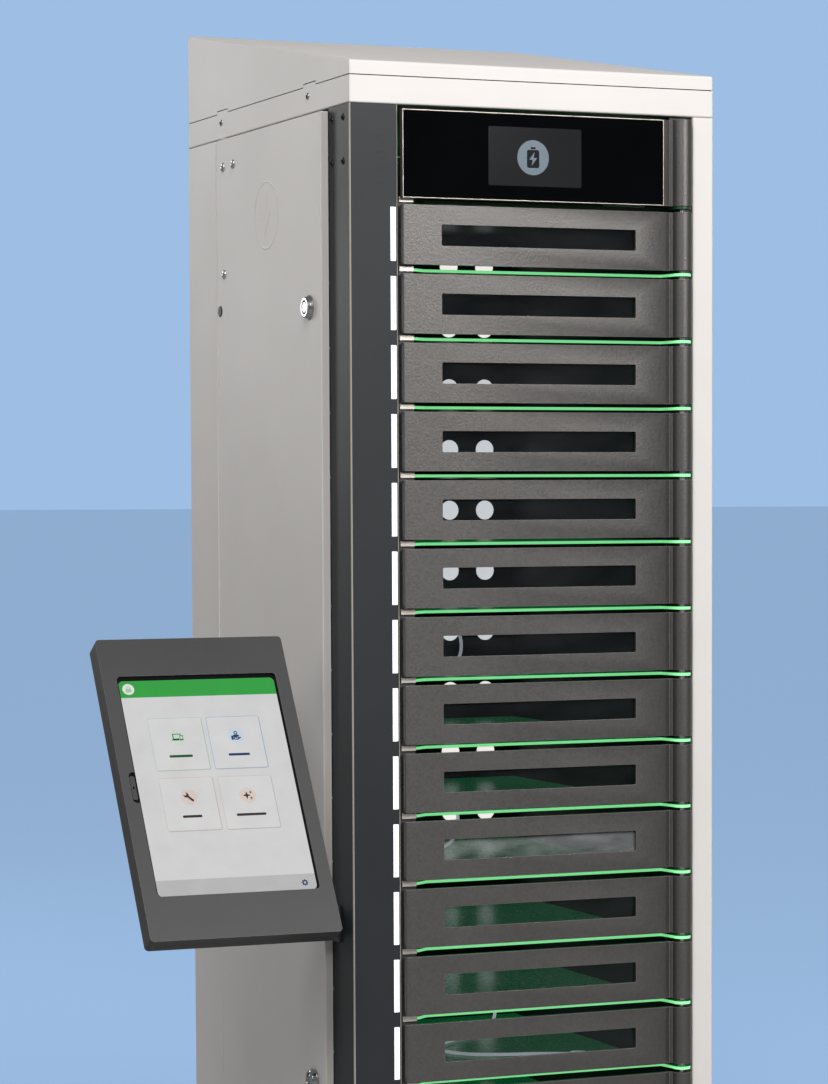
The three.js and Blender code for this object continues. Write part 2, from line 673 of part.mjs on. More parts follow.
for (let bay = 1; bay <= BAYS; bay += 1) {
  add(cabinet, `door_${number(bay)}`, bayDoor(bay), DOOR_GREY);
  add(cabinet, `door_window_${number(bay)}`, bayWindow(bay), CLEAR);
}
add(cabinet, "locker_carcass", lockerCarcass(), GREEN);
add(cabinet, "latch_rail", latchRail(), LIGHT_GREY);
add(cabinet, "hinge_rod", hingeRod(), STEEL);
add(cabinet, "hinge_channel", hingeChannel(), BLACK);
add(cabinet, "left_front_column", leftFrontColumn(), ANTHRACITE);
add(cabinet, "light_guide", lightGuide(), WHITE);
add(cabinet, "right_side_panel", rightSidePanel(), LIGHT_GREY);
add(cabinet, "left_rear_post", leftRearPost(), LIGHT_GREY);
add(cabinet, "rear_panel", rearPanel(), LIGHT_GREY);
add(cabinet, "power_inlet", powerInlet(), BLACK);
add(cabinet, "base_tray", baseTray(), LIGHT_GREY);
add(cabinet, "kick_panel", kickPanel(), ANTHRACITE);
add(cabinet, "top_collar", topCollar(), LIGHT_GREY);
add(cabinet, "sloped_cap", slopedCap(), LIGHT_GREY);
add(cabinet, "service_door", serviceDoor(), LIGHT_GREY);
add(cabinet, "service_hinge_rod", serviceHingeRod(), STEEL);
add(cabinet, "service_lock_upper", serviceLock(LOCK_UPPER_Z), CHROME);
add(cabinet, "service_lock_lower", serviceLock(LOCK_LOWER_Z), CHROME);
add(cabinet, "display_frame", displayFrame(), DOOR_GREY);
add(cabinet, "display_glass", displayGlass(), BLACK_GLASS);
add(cabinet, "lcd_module", lcdModule(), BLACK);
add(cabinet, "main_controller", mainController(), BLACK);
add(cabinet, "charger_rail", chargerRail(), BLACK);
for (const bay of Object.keys(LEAD_ROUTES)) {
  add(cabinet, `charging_lead_${number(bay)}`, chargingLead(Number(bay)), WHITE);
}
add(cabinet, "tablet_bracket", tabletBracket(), ANTHRACITE);

const enclosure = new THREE.Group();
enclosure.position.set(...TABLET_CENTRE);
enclosure.rotation.x = -TABLET_TILT;
add(enclosure, "tablet_front_cover", tabletFrontCover(), ANTHRACITE);
add(enclosure, "tablet_back_cover", tabletBackCover(), ANTHRACITE);
add(enclosure, "tablet", tablet(), BLACK_GLASS);
cabinet.add(enclosure);

const kiosk = new THREE.Group();
kiosk.add(cabinet);

export default kiosk;
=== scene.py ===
"""A phone charging kiosk: fifteen locker bays in a steel cabinet, with a sign-in tablet on its left side.

Shapes are written in cabinet millimetres: x = 0 is the cabinet's left side, y = 0 the column's front and
z = 0 the floor. TO_ROW carries them into the row frame, in metres.
"""

import math

import bmesh
import bpy
from mathutils import Matrix, Vector


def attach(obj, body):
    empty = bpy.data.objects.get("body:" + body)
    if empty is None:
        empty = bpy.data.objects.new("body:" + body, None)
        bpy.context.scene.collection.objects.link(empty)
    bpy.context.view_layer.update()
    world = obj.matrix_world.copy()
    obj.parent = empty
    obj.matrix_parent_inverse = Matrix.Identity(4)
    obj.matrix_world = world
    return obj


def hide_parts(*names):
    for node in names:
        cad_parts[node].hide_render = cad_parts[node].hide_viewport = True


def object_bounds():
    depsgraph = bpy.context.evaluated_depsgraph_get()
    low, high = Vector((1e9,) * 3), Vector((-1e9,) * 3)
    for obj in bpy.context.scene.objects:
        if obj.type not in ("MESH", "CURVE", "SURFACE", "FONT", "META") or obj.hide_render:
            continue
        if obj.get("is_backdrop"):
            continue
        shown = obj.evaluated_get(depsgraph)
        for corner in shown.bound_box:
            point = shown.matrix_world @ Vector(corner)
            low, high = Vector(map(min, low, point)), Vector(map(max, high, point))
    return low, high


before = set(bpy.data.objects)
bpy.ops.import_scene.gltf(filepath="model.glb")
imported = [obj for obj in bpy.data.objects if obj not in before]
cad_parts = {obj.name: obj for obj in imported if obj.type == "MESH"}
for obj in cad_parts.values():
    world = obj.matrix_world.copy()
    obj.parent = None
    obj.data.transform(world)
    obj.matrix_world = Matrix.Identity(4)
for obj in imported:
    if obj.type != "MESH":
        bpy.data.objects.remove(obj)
cad_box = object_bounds()

MM = 0.001
WIDTH = 393
DEPTH = 472
TO_ROW = Matrix.Scale(MM, 4) @ Matrix.Translation((-WIDTH / 2, -DEPTH / 2, 0))

# ---- Camera ----

CAMERA_PLACE = (-1.4064, -3.2739, 0.8032)
CAMERA_AZIMUTH = -22.763
CAMERA_ELEVATION = 3.473
CAMERA_ROLL = -0.258
CAMERA_LENS = 112.34
CAMERA_RISE = 0.1458


def make_camera():
    data = bpy.data.cameras.new("camera")
    data.sensor_fit = "AUTO"
    data.sensor_width = 36
    data.lens = CAMERA_LENS
    data.shift_y = CAMERA_RISE
    camera = bpy.data.objects.new("camera", data)
    azimuth, elevation = math.radians(CAMERA_AZIMUTH), math.radians(CAMERA_ELEVATION)
    back = Vector(
        (
            math.sin(azimuth) * math.cos(elevation),
            -math.cos(azimuth) * math.cos(elevation),
            math.sin(elevation),
        )
    )
    turn = (-back).to_track_quat("-Z", "Y").to_matrix().to_4x4()
    roll = Matrix.Rotation(math.radians(CAMERA_ROLL), 4, "Z")
    camera.matrix_world = Matrix.Translation(CAMERA_PLACE) @ turn @ roll
    data.clip_start, data.clip_end = 0.05, 500
    bpy.context.scene.collection.objects.link(camera)
    bpy.context.scene.camera = camera


make_camera()

# ---- Materials ----


class Nodes:
    """A material's node tree, with short ways to add to it."""

    def __init__(self, name):
        self.material = bpy.data.materials.new(name)
        self.material.use_nodes = True
        self.tree = self.material.node_tree
        self.tree.nodes.clear()
        self.output = self.tree.nodes.new("ShaderNodeOutputMaterial")

    def feed(self, node, inputs):
        """Links or sets inputs, given as (name or index, value) pairs."""
        for key, value in inputs:
            if isinstance(value, bpy.types.NodeSocket):
                self.tree.links.new(value, node.inputs[key])
            else:
                node.inputs[key].default_value = value
        return node

    def add(self, kind, inputs=None, **settings):
        node = self.tree.nodes.new(kind)
        for name, value in settings.items():
            setattr(node, name, value)
        return self.feed(node, (inputs or {}).items())

    def place(self, stretch=(1, 1, 1)):
        place = self.add("ShaderNodeTexCoord").outputs["Object"]
        return self.add("ShaderNodeMapping", {"Vector": place, "Scale": stretch}).outputs["Vector"]

    def noise(self, scale, detail=2.0, roughness=0.5, stretch=(1, 1, 1), distortion=0.0):
        inputs = {
            "Vector": self.place(stretch),
            "Scale": scale,
            "Detail": detail,
            "Roughness": roughness,
            "Distortion": distortion,
        }
        return self.add("ShaderNodeTexNoise", inputs).outputs["Fac"]

    def spread(self, value, low, high, source=(0.3, 0.7)):
        inputs = {"Value": value, "From Min": source[0], "From Max": source[1], "To Min": low, "To Max": high}
        return self.add("ShaderNodeMapRange", inputs).outputs["Result"]

    def blend(self, factor, a, b, way="MIX"):
        node = self.add("ShaderNodeMix", data_type="RGBA", blend_type=way)
        return self.feed(node, ((0, factor), (6, a), (7, b))).outputs[2]

    def math(self, operation, a, b):
        node = self.add("ShaderNodeMath", operation=operation)
        return self.feed(node, enumerate((a, b))).outputs[0]

    def bump(self, height, strength, distance, below=None):
        inputs = {"Height": height, "Strength": strength, "Distance": distance}
        if below is not None:
            inputs["Normal"] = below
        return self.add("ShaderNodeBump", inputs).outputs["Normal"]

    def finish(self, shader):
        self.tree.links.new(shader, self.output.inputs["Surface"])
        return self.material


def shade(colour, factor):
    return tuple(min(1.0, c * factor) for c in colour[:3]) + (1.0,)


def rgb(red, green, blue):
    """A colour from its sRGB values, 0 to 255."""
    def linear(value):
        value /= 255
        return value / 12.92 if value <= 0.04045 else ((value + 0.055) / 1.055) ** 2.4

    return (linear(red), linear(green), linear(blue), 1.0)


def painted(name, colour, roughness, grain, bump, mottle=0.05, speckle=0.06, **sockets):
    """Paint or moulded plastic: a fine grain in height and colour, and slow changes in tone and gloss."""
    n = Nodes(name)
    fine = n.noise(1 / grain, detail=3, roughness=0.6)
    slow = n.noise(14, detail=3)
    broad = n.noise(3.1, detail=2)
    tone = n.blend(n.spread(slow, 0, 1), shade(colour, 1 - mottle), shade(colour, 1 + mottle))
    light = n.blend(n.spread(fine, 0, 1, (0.35, 0.65)), shade((1, 1, 1), 1 - speckle), (1, 1, 1, 1))
    tone = n.blend(1.0, tone, light, "MULTIPLY")
    gloss = n.math("ADD", n.spread(broad, -0.05, 0.05), n.spread(fine, roughness - 0.04, roughness + 0.04))
    inputs = {
        "Base Color": tone,
        "Roughness": gloss,
        "Normal": n.bump(fine, bump, grain * 0.35),
    }
    inputs.update({key.replace("_", " "): value for key, value in sockets.items()})
    return n.finish(n.add("ShaderNodeBsdfPrincipled", inputs).outputs[0])


def metal(name, colour, roughness, stretch=(1, 1, 30), bump=0.05):
    """Bare or plated metal, with fine drawn lines and faint smears."""
    n = Nodes(name)
    lines = n.noise(900, detail=2, stretch=stretch)
    smears = n.noise(60, detail=3)
    inputs = {
        "Base Color": n.blend(n.spread(smears, 0, 1), shade(colour, 0.88), shade(colour, 1.05)),
        "Metallic": 1.0,
        "Roughness": n.math(
            "ADD", n.spread(lines, -0.04, 0.05), n.spread(smears, roughness - 0.03, roughness + 0.04)
        ),
        "Normal": n.bump(lines, bump, 0.0002),
    }
    return n.finish(n.add("ShaderNodeBsdfPrincipled", inputs).outputs[0])


def glowing(name, colour, strength, base, roughness=0.3):
    """A soft glow that is a little uneven, under a smooth skin. The screens and the status light give off
    their own light; on the shelves, grommets and leads the glow is painted light.
    """
    n = Nodes(name)
    cloud = n.noise(45, detail=2)
    inputs = {
        "Base Color": n.blend(n.spread(cloud, 0, 1), shade(base, 0.95), base),
        "Roughness": n.spread(n.noise(320, detail=2), roughness - 0.03, roughness + 0.05),
        "Emission Color": n.blend(n.spread(cloud, 0, 1), shade(colour, 0.96), shade(colour, 1.02)),
        "Emission Strength": strength,
    }
    return n.finish(n.add("ShaderNodeBsdfPrincipled", inputs).outputs[0])


def dark_glass(name, colour, specular):
    """Dark polished glass, with a faint unevenness in its polish."""
    n = Nodes(name)
    wipe = n.noise(16, detail=2)
    inputs = {
        "Base Color": n.blend(n.spread(wipe, 0, 1), shade(colour, 0.85), shade(colour, 1.15)),
        "Roughness": n.spread(n.noise(70, detail=2), 0.035, 0.055),
        "Specular IOR Level": specular,
        "Normal": n.bump(n.noise(5, detail=1), 0.02, 0.001),
    }
    return n.finish(n.add("ShaderNodeBsdfPrincipled", inputs).outputs[0])


def clear_sheet(name, tint, haze):
    """A clear window pane: see-through, with a smooth reflection and some haze where it has been wiped."""
    n = Nodes(name)
    wipe = n.noise(22, detail=4, stretch=(1, 1, 3))
    through = n.add("ShaderNodeBsdfTransparent", {"Color": tint}).outputs[0]
    polish = {"Base Color": (0.9, 0.95, 1, 1), "Metallic": 1.0, "Roughness": n.spread(wipe, 0.04, 0.09)}
    gloss = n.add("ShaderNodeBsdfPrincipled", polish).outputs[0]
    fresnel = n.add("ShaderNodeFresnel", {"IOR": 1.22}).outputs[0]
    clear = n.add("ShaderNodeMixShader", {0: fresnel, 1: through, 2: gloss}).outputs[0]
    scuff = {"Base Color": (0.62, 0.64, 0.65, 1), "Roughness": n.spread(wipe, 0.5, 0.7)}
    film = n.add("ShaderNodeBsdfPrincipled", scuff).outputs[0]
    share = n.spread(wipe, haze * 0.3, haze * 1.7)
    return n.finish(n.add("ShaderNodeMixShader", {0: share, 1: clear, 2: film}).outputs[0])


DOOR_PAINT = painted(
    "door_paint", rgb(97, 95, 94), 0.4, 0.0020, 0.24, mottle=0.05, speckle=0.14, Metallic=0.8
)
# Lighter, glossier paint on the rounded edges of the doors and the display: a painted highlight along the
# edges.
DOOR_EDGE_HIGHLIGHT = painted("door_edge_highlight", rgb(128, 124, 120), 0.3, 0.0012, 0.1, mottle=0.06, speckle=0.1)
# Lighter paint on the column's bends: a painted highlight along its corners.
COLUMN_EDGE_HIGHLIGHT = painted("column_edge_highlight", rgb(150, 146, 140), 0.3, 0.0012, 0.05, mottle=0.05, speckle=0.08)
# Lighter paint on the tablet front cover's rounded edges: a painted highlight.
ENCLOSURE_EDGE_HIGHLIGHT = painted("enclosure_edge_highlight", rgb(96, 94, 92), 0.32, 0.0012, 0.05, mottle=0.06, speckle=0.1)
COLUMN_PAINT = painted(
    "column_paint", rgb(36, 39, 43), 0.47, 0.0014, 0.10, mottle=0.05, speckle=0.10, Specular_IOR_Level=0.25
)
CABINET_PAINT = painted("cabinet_paint", rgb(199, 196, 194), 0.46, 0.0014, 0.08, mottle=0.015, speckle=0.02)
ENCLOSURE_PAINT = painted("enclosure_paint", rgb(40, 40, 41), 0.44, 0.0014, 0.12, mottle=0.10, speckle=0.12)
# The shelves are one green plate in three looks: a painted glow on the top and painted shade on the
# underside.
SHELF_TOP_GLOW = glowing("shelf_top_glow", rgb(10, 86, 46), 0.5, rgb(24, 104, 46), roughness=0.28)
SHELF_UNDER_SHADE = painted("shelf_under_shade", rgb(10, 62, 32), 0.35, 0.004, 0.06, mottle=0.08, speckle=0.05)
WALL_PAINT = painted("wall_paint", rgb(20, 31, 54), 0.5, 0.0012, 0.3, mottle=0.08, speckle=0.12)
RAIL_PAINT = painted("rail_paint", rgb(40, 41, 43), 0.5, 0.0009, 0.3, mottle=0.06, speckle=0.1)
BLACK_PLASTIC = painted("black_plastic", rgb(24, 25, 27), 0.45, 0.0006, 0.3, mottle=0.06, speckle=0.12)
# Near-black for the strip in the collar-cap joint: painted shade.
BLACK_GAP = painted("black_gap", rgb(8, 8, 9), 0.6, 0.0006, 0.2, mottle=0.06, speckle=0.1)
# Painted glow: the white grommets shine by themselves, so they show bright in the dark bays.
GLOWING_WHITE_PLASTIC = glowing("white_plastic_glow", rgb(246, 240, 236), 0.95, rgb(226, 224, 220), roughness=0.38)
# Painted glow: the pale lead skin shines by itself.
GLOWING_LEAD_SKIN = glowing("lead_skin_glow", rgb(190, 188, 190), 0.6, rgb(196, 196, 198), roughness=0.42)
DISPLAY_GLASS = dark_glass("display_glass_black", rgb(3, 4, 5), 0.06)
BLACK_GLASS = dark_glass("black_glass", rgb(6, 7, 9), 0.3)
LCD_GLASS = painted("lcd_glass", rgb(21, 22, 25), 0.10, 0.0006, 0.01, mottle=0.06, speckle=0.06)
LCD_MARK = glowing("lcd_mark", rgb(122, 148, 166), 0.5, rgb(20, 24, 28))
# Painted glow on the shelf front edges: bright green that shines by itself.
SHELF_EDGE_GLOW = glowing("shelf_edge_glow", rgb(128, 232, 150), 0.8, rgb(130, 214, 146), roughness=0.2)
LIGHT_DIFFUSER = glowing("light_diffuser", rgb(236, 240, 248), 0.58, rgb(226, 230, 238), roughness=0.4)
STEEL = metal("steel", rgb(196, 198, 200), 0.26)
CHROME = metal("chrome", rgb(168, 169, 172), 0.16, stretch=(30, 1, 1), bump=0.02)
BRONZE = metal("bronze", rgb(186, 176, 166), 0.3, bump=0.05)
LATCH_ZINC = metal("latch_zinc", rgb(206, 200, 192), 0.42, bump=0.1)
DARK_SCREW = metal("dark_screw", rgb(58, 58, 62), 0.14, bump=0.02)
PANE = clear_sheet("pane", (0.80, 0.84, 0.88, 1), 0.004)
HAZY_PANE = clear_sheet("hazy_pane", (0.76, 0.79, 0.82, 1), 0.09)

# ---- Making pieces ----


def shown(name, mesh, looks, body="cabinet", stands_for=(), lift=0.0):
    """An object placed from the cabinet's corner, which rides on a body. lift is in millimetres."""
    piece = bpy.data.objects.new(name, mesh)
    if not mesh.materials:
        for look in looks:
            mesh.materials.append(look)
    piece.location = (-WIDTH / 2 * MM, -DEPTH / 2 * MM, lift * MM)
    bpy.context.scene.collection.objects.link(piece)
    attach(piece, body)
    if stands_for:
        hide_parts(*stands_for)
    return piece


def mesh_of(bm, name, closed=True):
    """A mesh in metres, from a bmesh that was built in millimetres."""
    mesh = bpy.data.meshes.new(name)
    if closed:
        bmesh.ops.recalc_face_normals(bm, faces=bm.faces)
    bmesh.ops.scale(bm, vec=(MM, MM, MM), verts=bm.verts)
    bm.to_mesh(mesh)
    bm.free()
    return mesh


def smooth(piece, angle=32):
    piece.data.polygons.foreach_set("use_smooth", [True] * len(piece.data.polygons))
    piece.data.set_sharp_from_angle(angle=math.radians(angle))
    return piece


def rounded(piece, width, segments=2, angle=32, edge_look=-1):
    """Rounds the edges by a width in millimetres. edge_look is the rounding's material slot."""
    piece.data.polygons.foreach_set("use_smooth", [True] * len(piece.data.polygons))
    bevel = piece.modifiers.new("round", "BEVEL")
    bevel.width = width * MM
    bevel.segments = segments
    bevel.limit_method = "ANGLE"
    bevel.angle_limit = math.radians(angle)
    bevel.harden_normals = True
    bevel.miter_outer = "MITER_ARC"
    bevel.material = edge_look
    return piece


def sheet_metal(piece, thickness=1.5, bend=1.6, edge_look=-1):
    """Turns an open skin, with its normals outward, into bent sheet metal."""
    rounded(piece, bend, segments=4, edge_look=edge_look)
    solidify = piece.modifiers.new("sheet", "SOLIDIFY")
    solidify.thickness = thickness * MM
    solidify.offset = -1
    solidify.use_even_offset = True
    split = piece.modifiers.new("creases", "EDGE_SPLIT")
    split.split_angle = math.radians(34)
    evened = piece.modifiers.new("evened", "WEIGHTED_NORMAL")
    evened.keep_sharp = True
    return piece


def add_face(bm, points, look=0):
    face = bm.faces.new([bm.verts.new(p) for p in points])
    face.material_index = look
    return face


def merge(bm, distance=0.01):
    bmesh.ops.remove_doubles(bm, verts=bm.verts, dist=distance)


def add_box(bm, x0, x1, y0, y1, z0, z1, look=0):
    centre = ((x0 + x1) / 2, (y0 + y1) / 2, (z0 + z1) / 2)
    sizes = Matrix.Diagonal((x1 - x0, y1 - y0, z1 - z0, 1))
    made = bmesh.ops.create_cube(bm, size=1, matrix=Matrix.Translation(centre) @ sizes)
    for face in {f for v in made["verts"] for f in v.link_faces}:
        face.material_index = look


def add_prism(bm, outline, place, depth, look=0):
    """A flat outline of (u, v) points, given a depth. place(u, v, w) says where each point goes."""
    low = [bm.verts.new(place(u, v, 0)) for u, v in outline]
    high = [bm.verts.new(place(u, v, depth)) for u, v in outline]
    faces = [bm.faces.new(low[::-1]), bm.faces.new(high)]
    for i in range(len(outline)):
        j = (i + 1) % len(outline)
        faces.append(bm.faces.new((low[i], low[j], high[j], high[i])))
    for face in faces:
        face.material_index = look


def add_turned(bm, profile, place, sides=32, look=0):
    """A profile of (radius, height) points, turned round an axis. place(u, v, w) has the axis along w."""
    rings = []
    for radius, height in profile:
        if radius < 1e-6:
            rings.append([bm.verts.new(place(0, 0, height))])
            continue
        angles = [2 * math.pi * i / sides for i in range(sides)]
        spots = [(radius * math.cos(a), radius * math.sin(a)) for a in angles]
        rings.append([bm.verts.new(place(u, v, height)) for u, v in spots])
    for low, high in zip(rings, rings[1:]):
        for i in range(sides):
            j = (i + 1) % sides
            corners = [low[i % len(low)], low[j % len(low)], high[j % len(high)], high[i % len(high)]]
            corners = list(dict.fromkeys(corners))
            if len(corners) > 2:
                bm.faces.new(corners).material_index = look


def arc(x, y, radius, start, end, steps):
    """Points along an arc. The angles are in degrees."""
    angles = [math.radians(start + (end - start) * i / steps) for i in range(steps + 1)]
    return [(x + radius * math.cos(a), y + radius * math.sin(a)) for a in angles]


def round_rectangle(x0, x1, z0, z1, radius, steps=6):
    corners = ((x1 - radius, z0 + radius, -90), (x1 - radius, z1 - radius, 0))
    corners += ((x0 + radius, z1 - radius, 90), (x0 + radius, z0 + radius, 180))
    return [p for x, z, start in corners for p in arc(x, z, radius, start, start + 90, steps)]


def forward(x, y, z):
    """A place for something that faces the front, with its depth or axis towards -Y."""
    return lambda u, v, w: (x + u, y - w, z + v)


def leftward(x, y, z):
    """A place for something that faces left, with its depth or axis towards -X."""
    return lambda u, v, w: (x - w, y - u, z + v)


def upward(z):
    return lambda u, v, w: (u, v, z + w)


def carved(solid, *tools):
    """A solid bmesh with other solids taken away from it."""
    base = bpy.data.objects.new("carving", mesh_of(solid, "carving"))
    bpy.context.scene.collection.objects.link(base)
    cutters = []
    for tool in tools:
        cutter = bpy.data.objects.new("cutter", mesh_of(tool, "cutter"))
        bpy.context.scene.collection.objects.link(cutter)
        boolean = base.modifiers.new("cut", "BOOLEAN")
        boolean.operation = "DIFFERENCE"
        boolean.solver = "EXACT"
        boolean.object = cutter
        cutters.append(cutter)
    graph = bpy.context.evaluated_depsgraph_get()
    mesh = bpy.data.meshes.new_from_object(base.evaluated_get(graph))
    for spare in [base, *cutters]:
        bpy.data.objects.remove(spare)
    return mesh


def restyle(node, look, width=0.5, segments=2, edge=None):
    """Keeps a CAD node's shape, with rounded edges and a finished material."""
    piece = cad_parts[node]
    mesh = piece.data
    if "custom_normal" in mesh.attributes:
        mesh.attributes.remove(mesh.attributes["custom_normal"])
    mesh.materials.clear()
    mesh.materials.append(look)
    if edge:
        mesh.materials.append(edge)
    weld = piece.modifiers.new("weld", "WELD")
    weld.merge_threshold = 1e-5
    flats = piece.modifiers.new("flats", "DECIMATE")
    flats.decimate_type = "DISSOLVE"
    flats.angle_limit = math.radians(1)
    rounded(piece, width, segments=segments, edge_look=1 if edge else -1)
    return piece


# ---- Sizes that the pieces share ----

BAYS = 15
PITCH = 66.5
BAY_BASE = 90
DOOR_HEIGHT = 57.5
DOOR_RISE = (PITCH - DOOR_HEIGHT) / 2
DOOR_LEFT = 52.3
DOOR_FACE_RIGHT = 335
DOOR_FRONT = -7
DOOR_BACK = -1
DOOR_SKIN = 3
FOLD_RIGHT = 342
FOLD_FRONT = -3.6
HINGE_X = 354.5
HINGE_Y = -6
BARREL_R = 10
BORE_R = 3.5
WINDOW_LEFT = 93.3
WINDOW_RIGHT = 303
WINDOW_HEIGHT = 20.5
SHELF = 3
SHELF_LEFT = 67.3
SHELF_RIGHT = 345.6
SHELF_FRONT = 15
EAR_R = 9
BAY_REAR = 380
HOLES_X = (267.5, 309.8)
HOLE_R = 10.4
HOLE_RISE = 31
DISPLAY_BOTTOM = 1089.3
DISPLAY_TOP = 1174.3


def bay_bottom(bay):
    """Bay 1 is the highest."""
    return BAY_BASE + (BAYS - bay) * PITCH


# ---- Charging leads ----

# The routes of the CAD leads: [x, y, height above the bay's lower shelf line].
LEAD_ROUTES = {
    7: (
        (267.5, 378, 31), (267.5, 366, 31), (265, 350, 29.5), (259, 330, 22), (250, 310, 12),
        (238, 290, 5.4), (220, 262, 3.6), (196, 238, 3.6), (168, 218, 3.6), (146, 192, 3.6),
        (134, 160, 3.6), (140, 128, 3.6), (160, 104, 3.6), (188, 90, 3.6), (216, 84, 3.6),
    ),
    10: (
        (267.5, 378, 31), (267.5, 366, 31), (263, 350, 29), (254, 330, 21), (240, 308, 10),
        (222, 286, 4.6), (196, 264, 3.6), (166, 246, 3.6), (138, 224, 3.6), (118, 194, 3.6),
        (112, 160, 3.6), (124, 130, 3.6), (148, 112, 3.6), (176, 102, 3.6),
    ),
    13: (
        (309.8, 378, 31), (309.8, 366, 31), (307, 350, 29), (299, 330, 21), (287, 308, 10),
        (272, 286, 4.6), (252, 262, 3.6), (226, 240, 3.6), (196, 220, 3.6), (172, 194, 3.6),
        (166, 162, 3.6), (182, 134, 3.6), (212, 118, 3.6), (246, 108, 3.6), (280, 92, 3.6),
    ),
}
LEAD_R = 1.75


def smooth_route(points, share=6):
    """Points along a centripetal Catmull-Rom curve through the given ones."""
    points = [Vector(p) for p in points]
    ends = [points[0] * 2 - points[1], *points, points[-1] * 2 - points[-2]]
    found = []
    for a, b, c, d in zip(ends, ends[1:], ends[2:], ends[3:]):
        knots = [0.0]
        for p, q in ((a, b), (b, c), (c, d)):
            knots.append(knots[-1] + max((q - p).length, 1e-4) ** 0.5)
        t0, t1, t2, t3 = knots
        for step in range(share):
            t = t1 + (t2 - t1) * step / share
            ab = a * ((t1 - t) / (t1 - t0)) + b * ((t - t0) / (t1 - t0))
            bc = b * ((t2 - t) / (t2 - t1)) + c * ((t - t1) / (t2 - t1))
            cd = c * ((t3 - t) / (t3 - t2)) + d * ((t - t2) / (t3 - t2))
            abc = ab * ((t2 - t) / (t2 - t0)) + bc * ((t - t0) / (t2 - t0))
            bcd = bc * ((t3 - t) / (t3 - t1)) + cd * ((t - t1) / (t3 - t1))
            found.append(abc * ((t2 - t) / (t2 - t1)) + bcd * ((t - t1) / (t2 - t1)))
    return [*found, points[-1]]


def lead_connector(bay, end, way):
    """The connector on a lead: a moulded grip with a collar, and the metal tongue."""
    turn = Matrix.Translation(end) @ Vector((1, 0, 0)).rotation_difference(way).to_matrix().to_4x4()

    def place(u, v, w):
        return turn @ Vector((w, u, v + 0.6))

    bm = bmesh.new()
    grip = round_rectangle(-4.5, 4.5, -2.2, 2.2, 1.6)
    add_prism(bm, grip, lambda u, v, w: place(u, v, w - 1), 13)
    collar = round_rectangle(-3.4, 3.4, -1.9, 1.9, 1.5)
    add_prism(bm, collar, lambda u, v, w: place(u, v, w - 3), 2)
    tongue = round_rectangle(-3.3, 3.3, -1.1, 1.1, 0.9)
    add_prism(bm, tongue, lambda u, v, w: place(u, v, w + 12), 6.5, look=1)
    name = f"lead_connector_{bay:02d}"
    # The grip's skin carries the painted glow.
    looks = [GLOWING_LEAD_SKIN, STEEL]
    return rounded(shown(name, mesh_of(bm, name), looks), 0.35)


def make_lead(bay, route):
    line = [TO_ROW @ (p + Vector((0, 0, bay_bottom(bay)))) for p in smooth_route(route)]
    data = bpy.data.curves.new(f"lead_{bay:02d}", "CURVE")
    data.dimensions = "3D"
    data.bevel_depth = LEAD_R * MM
    data.bevel_resolution = 4
    data.use_fill_caps = True
    spline = data.splines.new("POLY")
    spline.points.add(len(line) - 1)
    for point, place in zip(spline.points, line):
        point.co = (*place, 1)
    lead = bpy.data.objects.new(f"lead_{bay:02d}", data)
    # The lead's skin carries the painted glow.
    data.materials.append(GLOWING_LEAD_SKIN)
    bpy.context.scene.collection.objects.link(lead)
    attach(lead, "cabinet")
    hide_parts(f"charging_lead_{bay:02d}")
    end = TO_ROW.inverted() @ line[-1]
    way = (line[-1] - line[-2]).normalized()
    connector = lead_connector(bay, end, way)
    tuple(line[0])
    sum((b - a).length for a, b in zip(line, line[1:]))


for bay, route in LEAD_ROUTES.items():
    make_lead(bay, route)

# ---- Bay doors ----


def door_plan():
    """A door from above: a flat face, a shallow fold and the round hinge barrel."""
    face = [(DOOR_LEFT, DOOR_BACK), *arc(DOOR_LEFT + 1.6, DOOR_FRONT + 1.6, 1.6, 180, 270, 5)]
    face += [(DOOR_FACE_RIGHT, DOOR_FRONT), (FOLD_RIGHT, FOLD_FRONT)]
    return face + arc(HINGE_X, HINGE_Y, BARREL_R, 180, 511, 44)


def hinge_bore(low, high):
    """The hole for the hinge rod, as a solid to take away."""
    profile = ((0, low), (BORE_R, low), (BORE_R, high), (0, high))
    bore = bmesh.new()
    add_turned(bore, profile, lambda u, v, w: (HINGE_X + u, HINGE_Y + v, w))
    return bore


def door_mesh(height, window):
    bm = bmesh.new()
    add_prism(bm, door_plan(), upward(0), height)
    tools = [hinge_bore(-1, height + 1)]
    if window:
        pocket = bmesh.new()
        add_box(pocket, DOOR_LEFT + 8, DOOR_FACE_RIGHT - 5, DOOR_FRONT + DOOR_SKIN, 4, 5, height - 5)
        tools.append(pocket)
        slot = bmesh.new()
        half = WINDOW_HEIGHT / 2
        outline = round_rectangle(WINDOW_LEFT, WINDOW_RIGHT, height / 2 - half, height / 2 + half, 1.4, 4)
        add_prism(slot, outline, lambda u, v, w: (u, 5 - w, v), 20)
        tools.append(slot)
    return carved(bm, *tools)


def hook_mesh():
    """The latch hook on the back of a door: a plate with a notch behind its nose."""
    outline = ((-2, -6), (14, -6), (15, -2.5), (18, -2.5), (19, -6), (21, -4), (21, 4), (19, 6), (-2, 6))
    bm = bmesh.new()
    add_prism(bm, outline, lambda u, v, w: (54.5 + w, DOOR_BACK + u, v), 4)
    return mesh_of(bm, "latch_hook")


DOOR_MESH = door_mesh(DOOR_HEIGHT, True)
HOOK_MESH = hook_mesh()

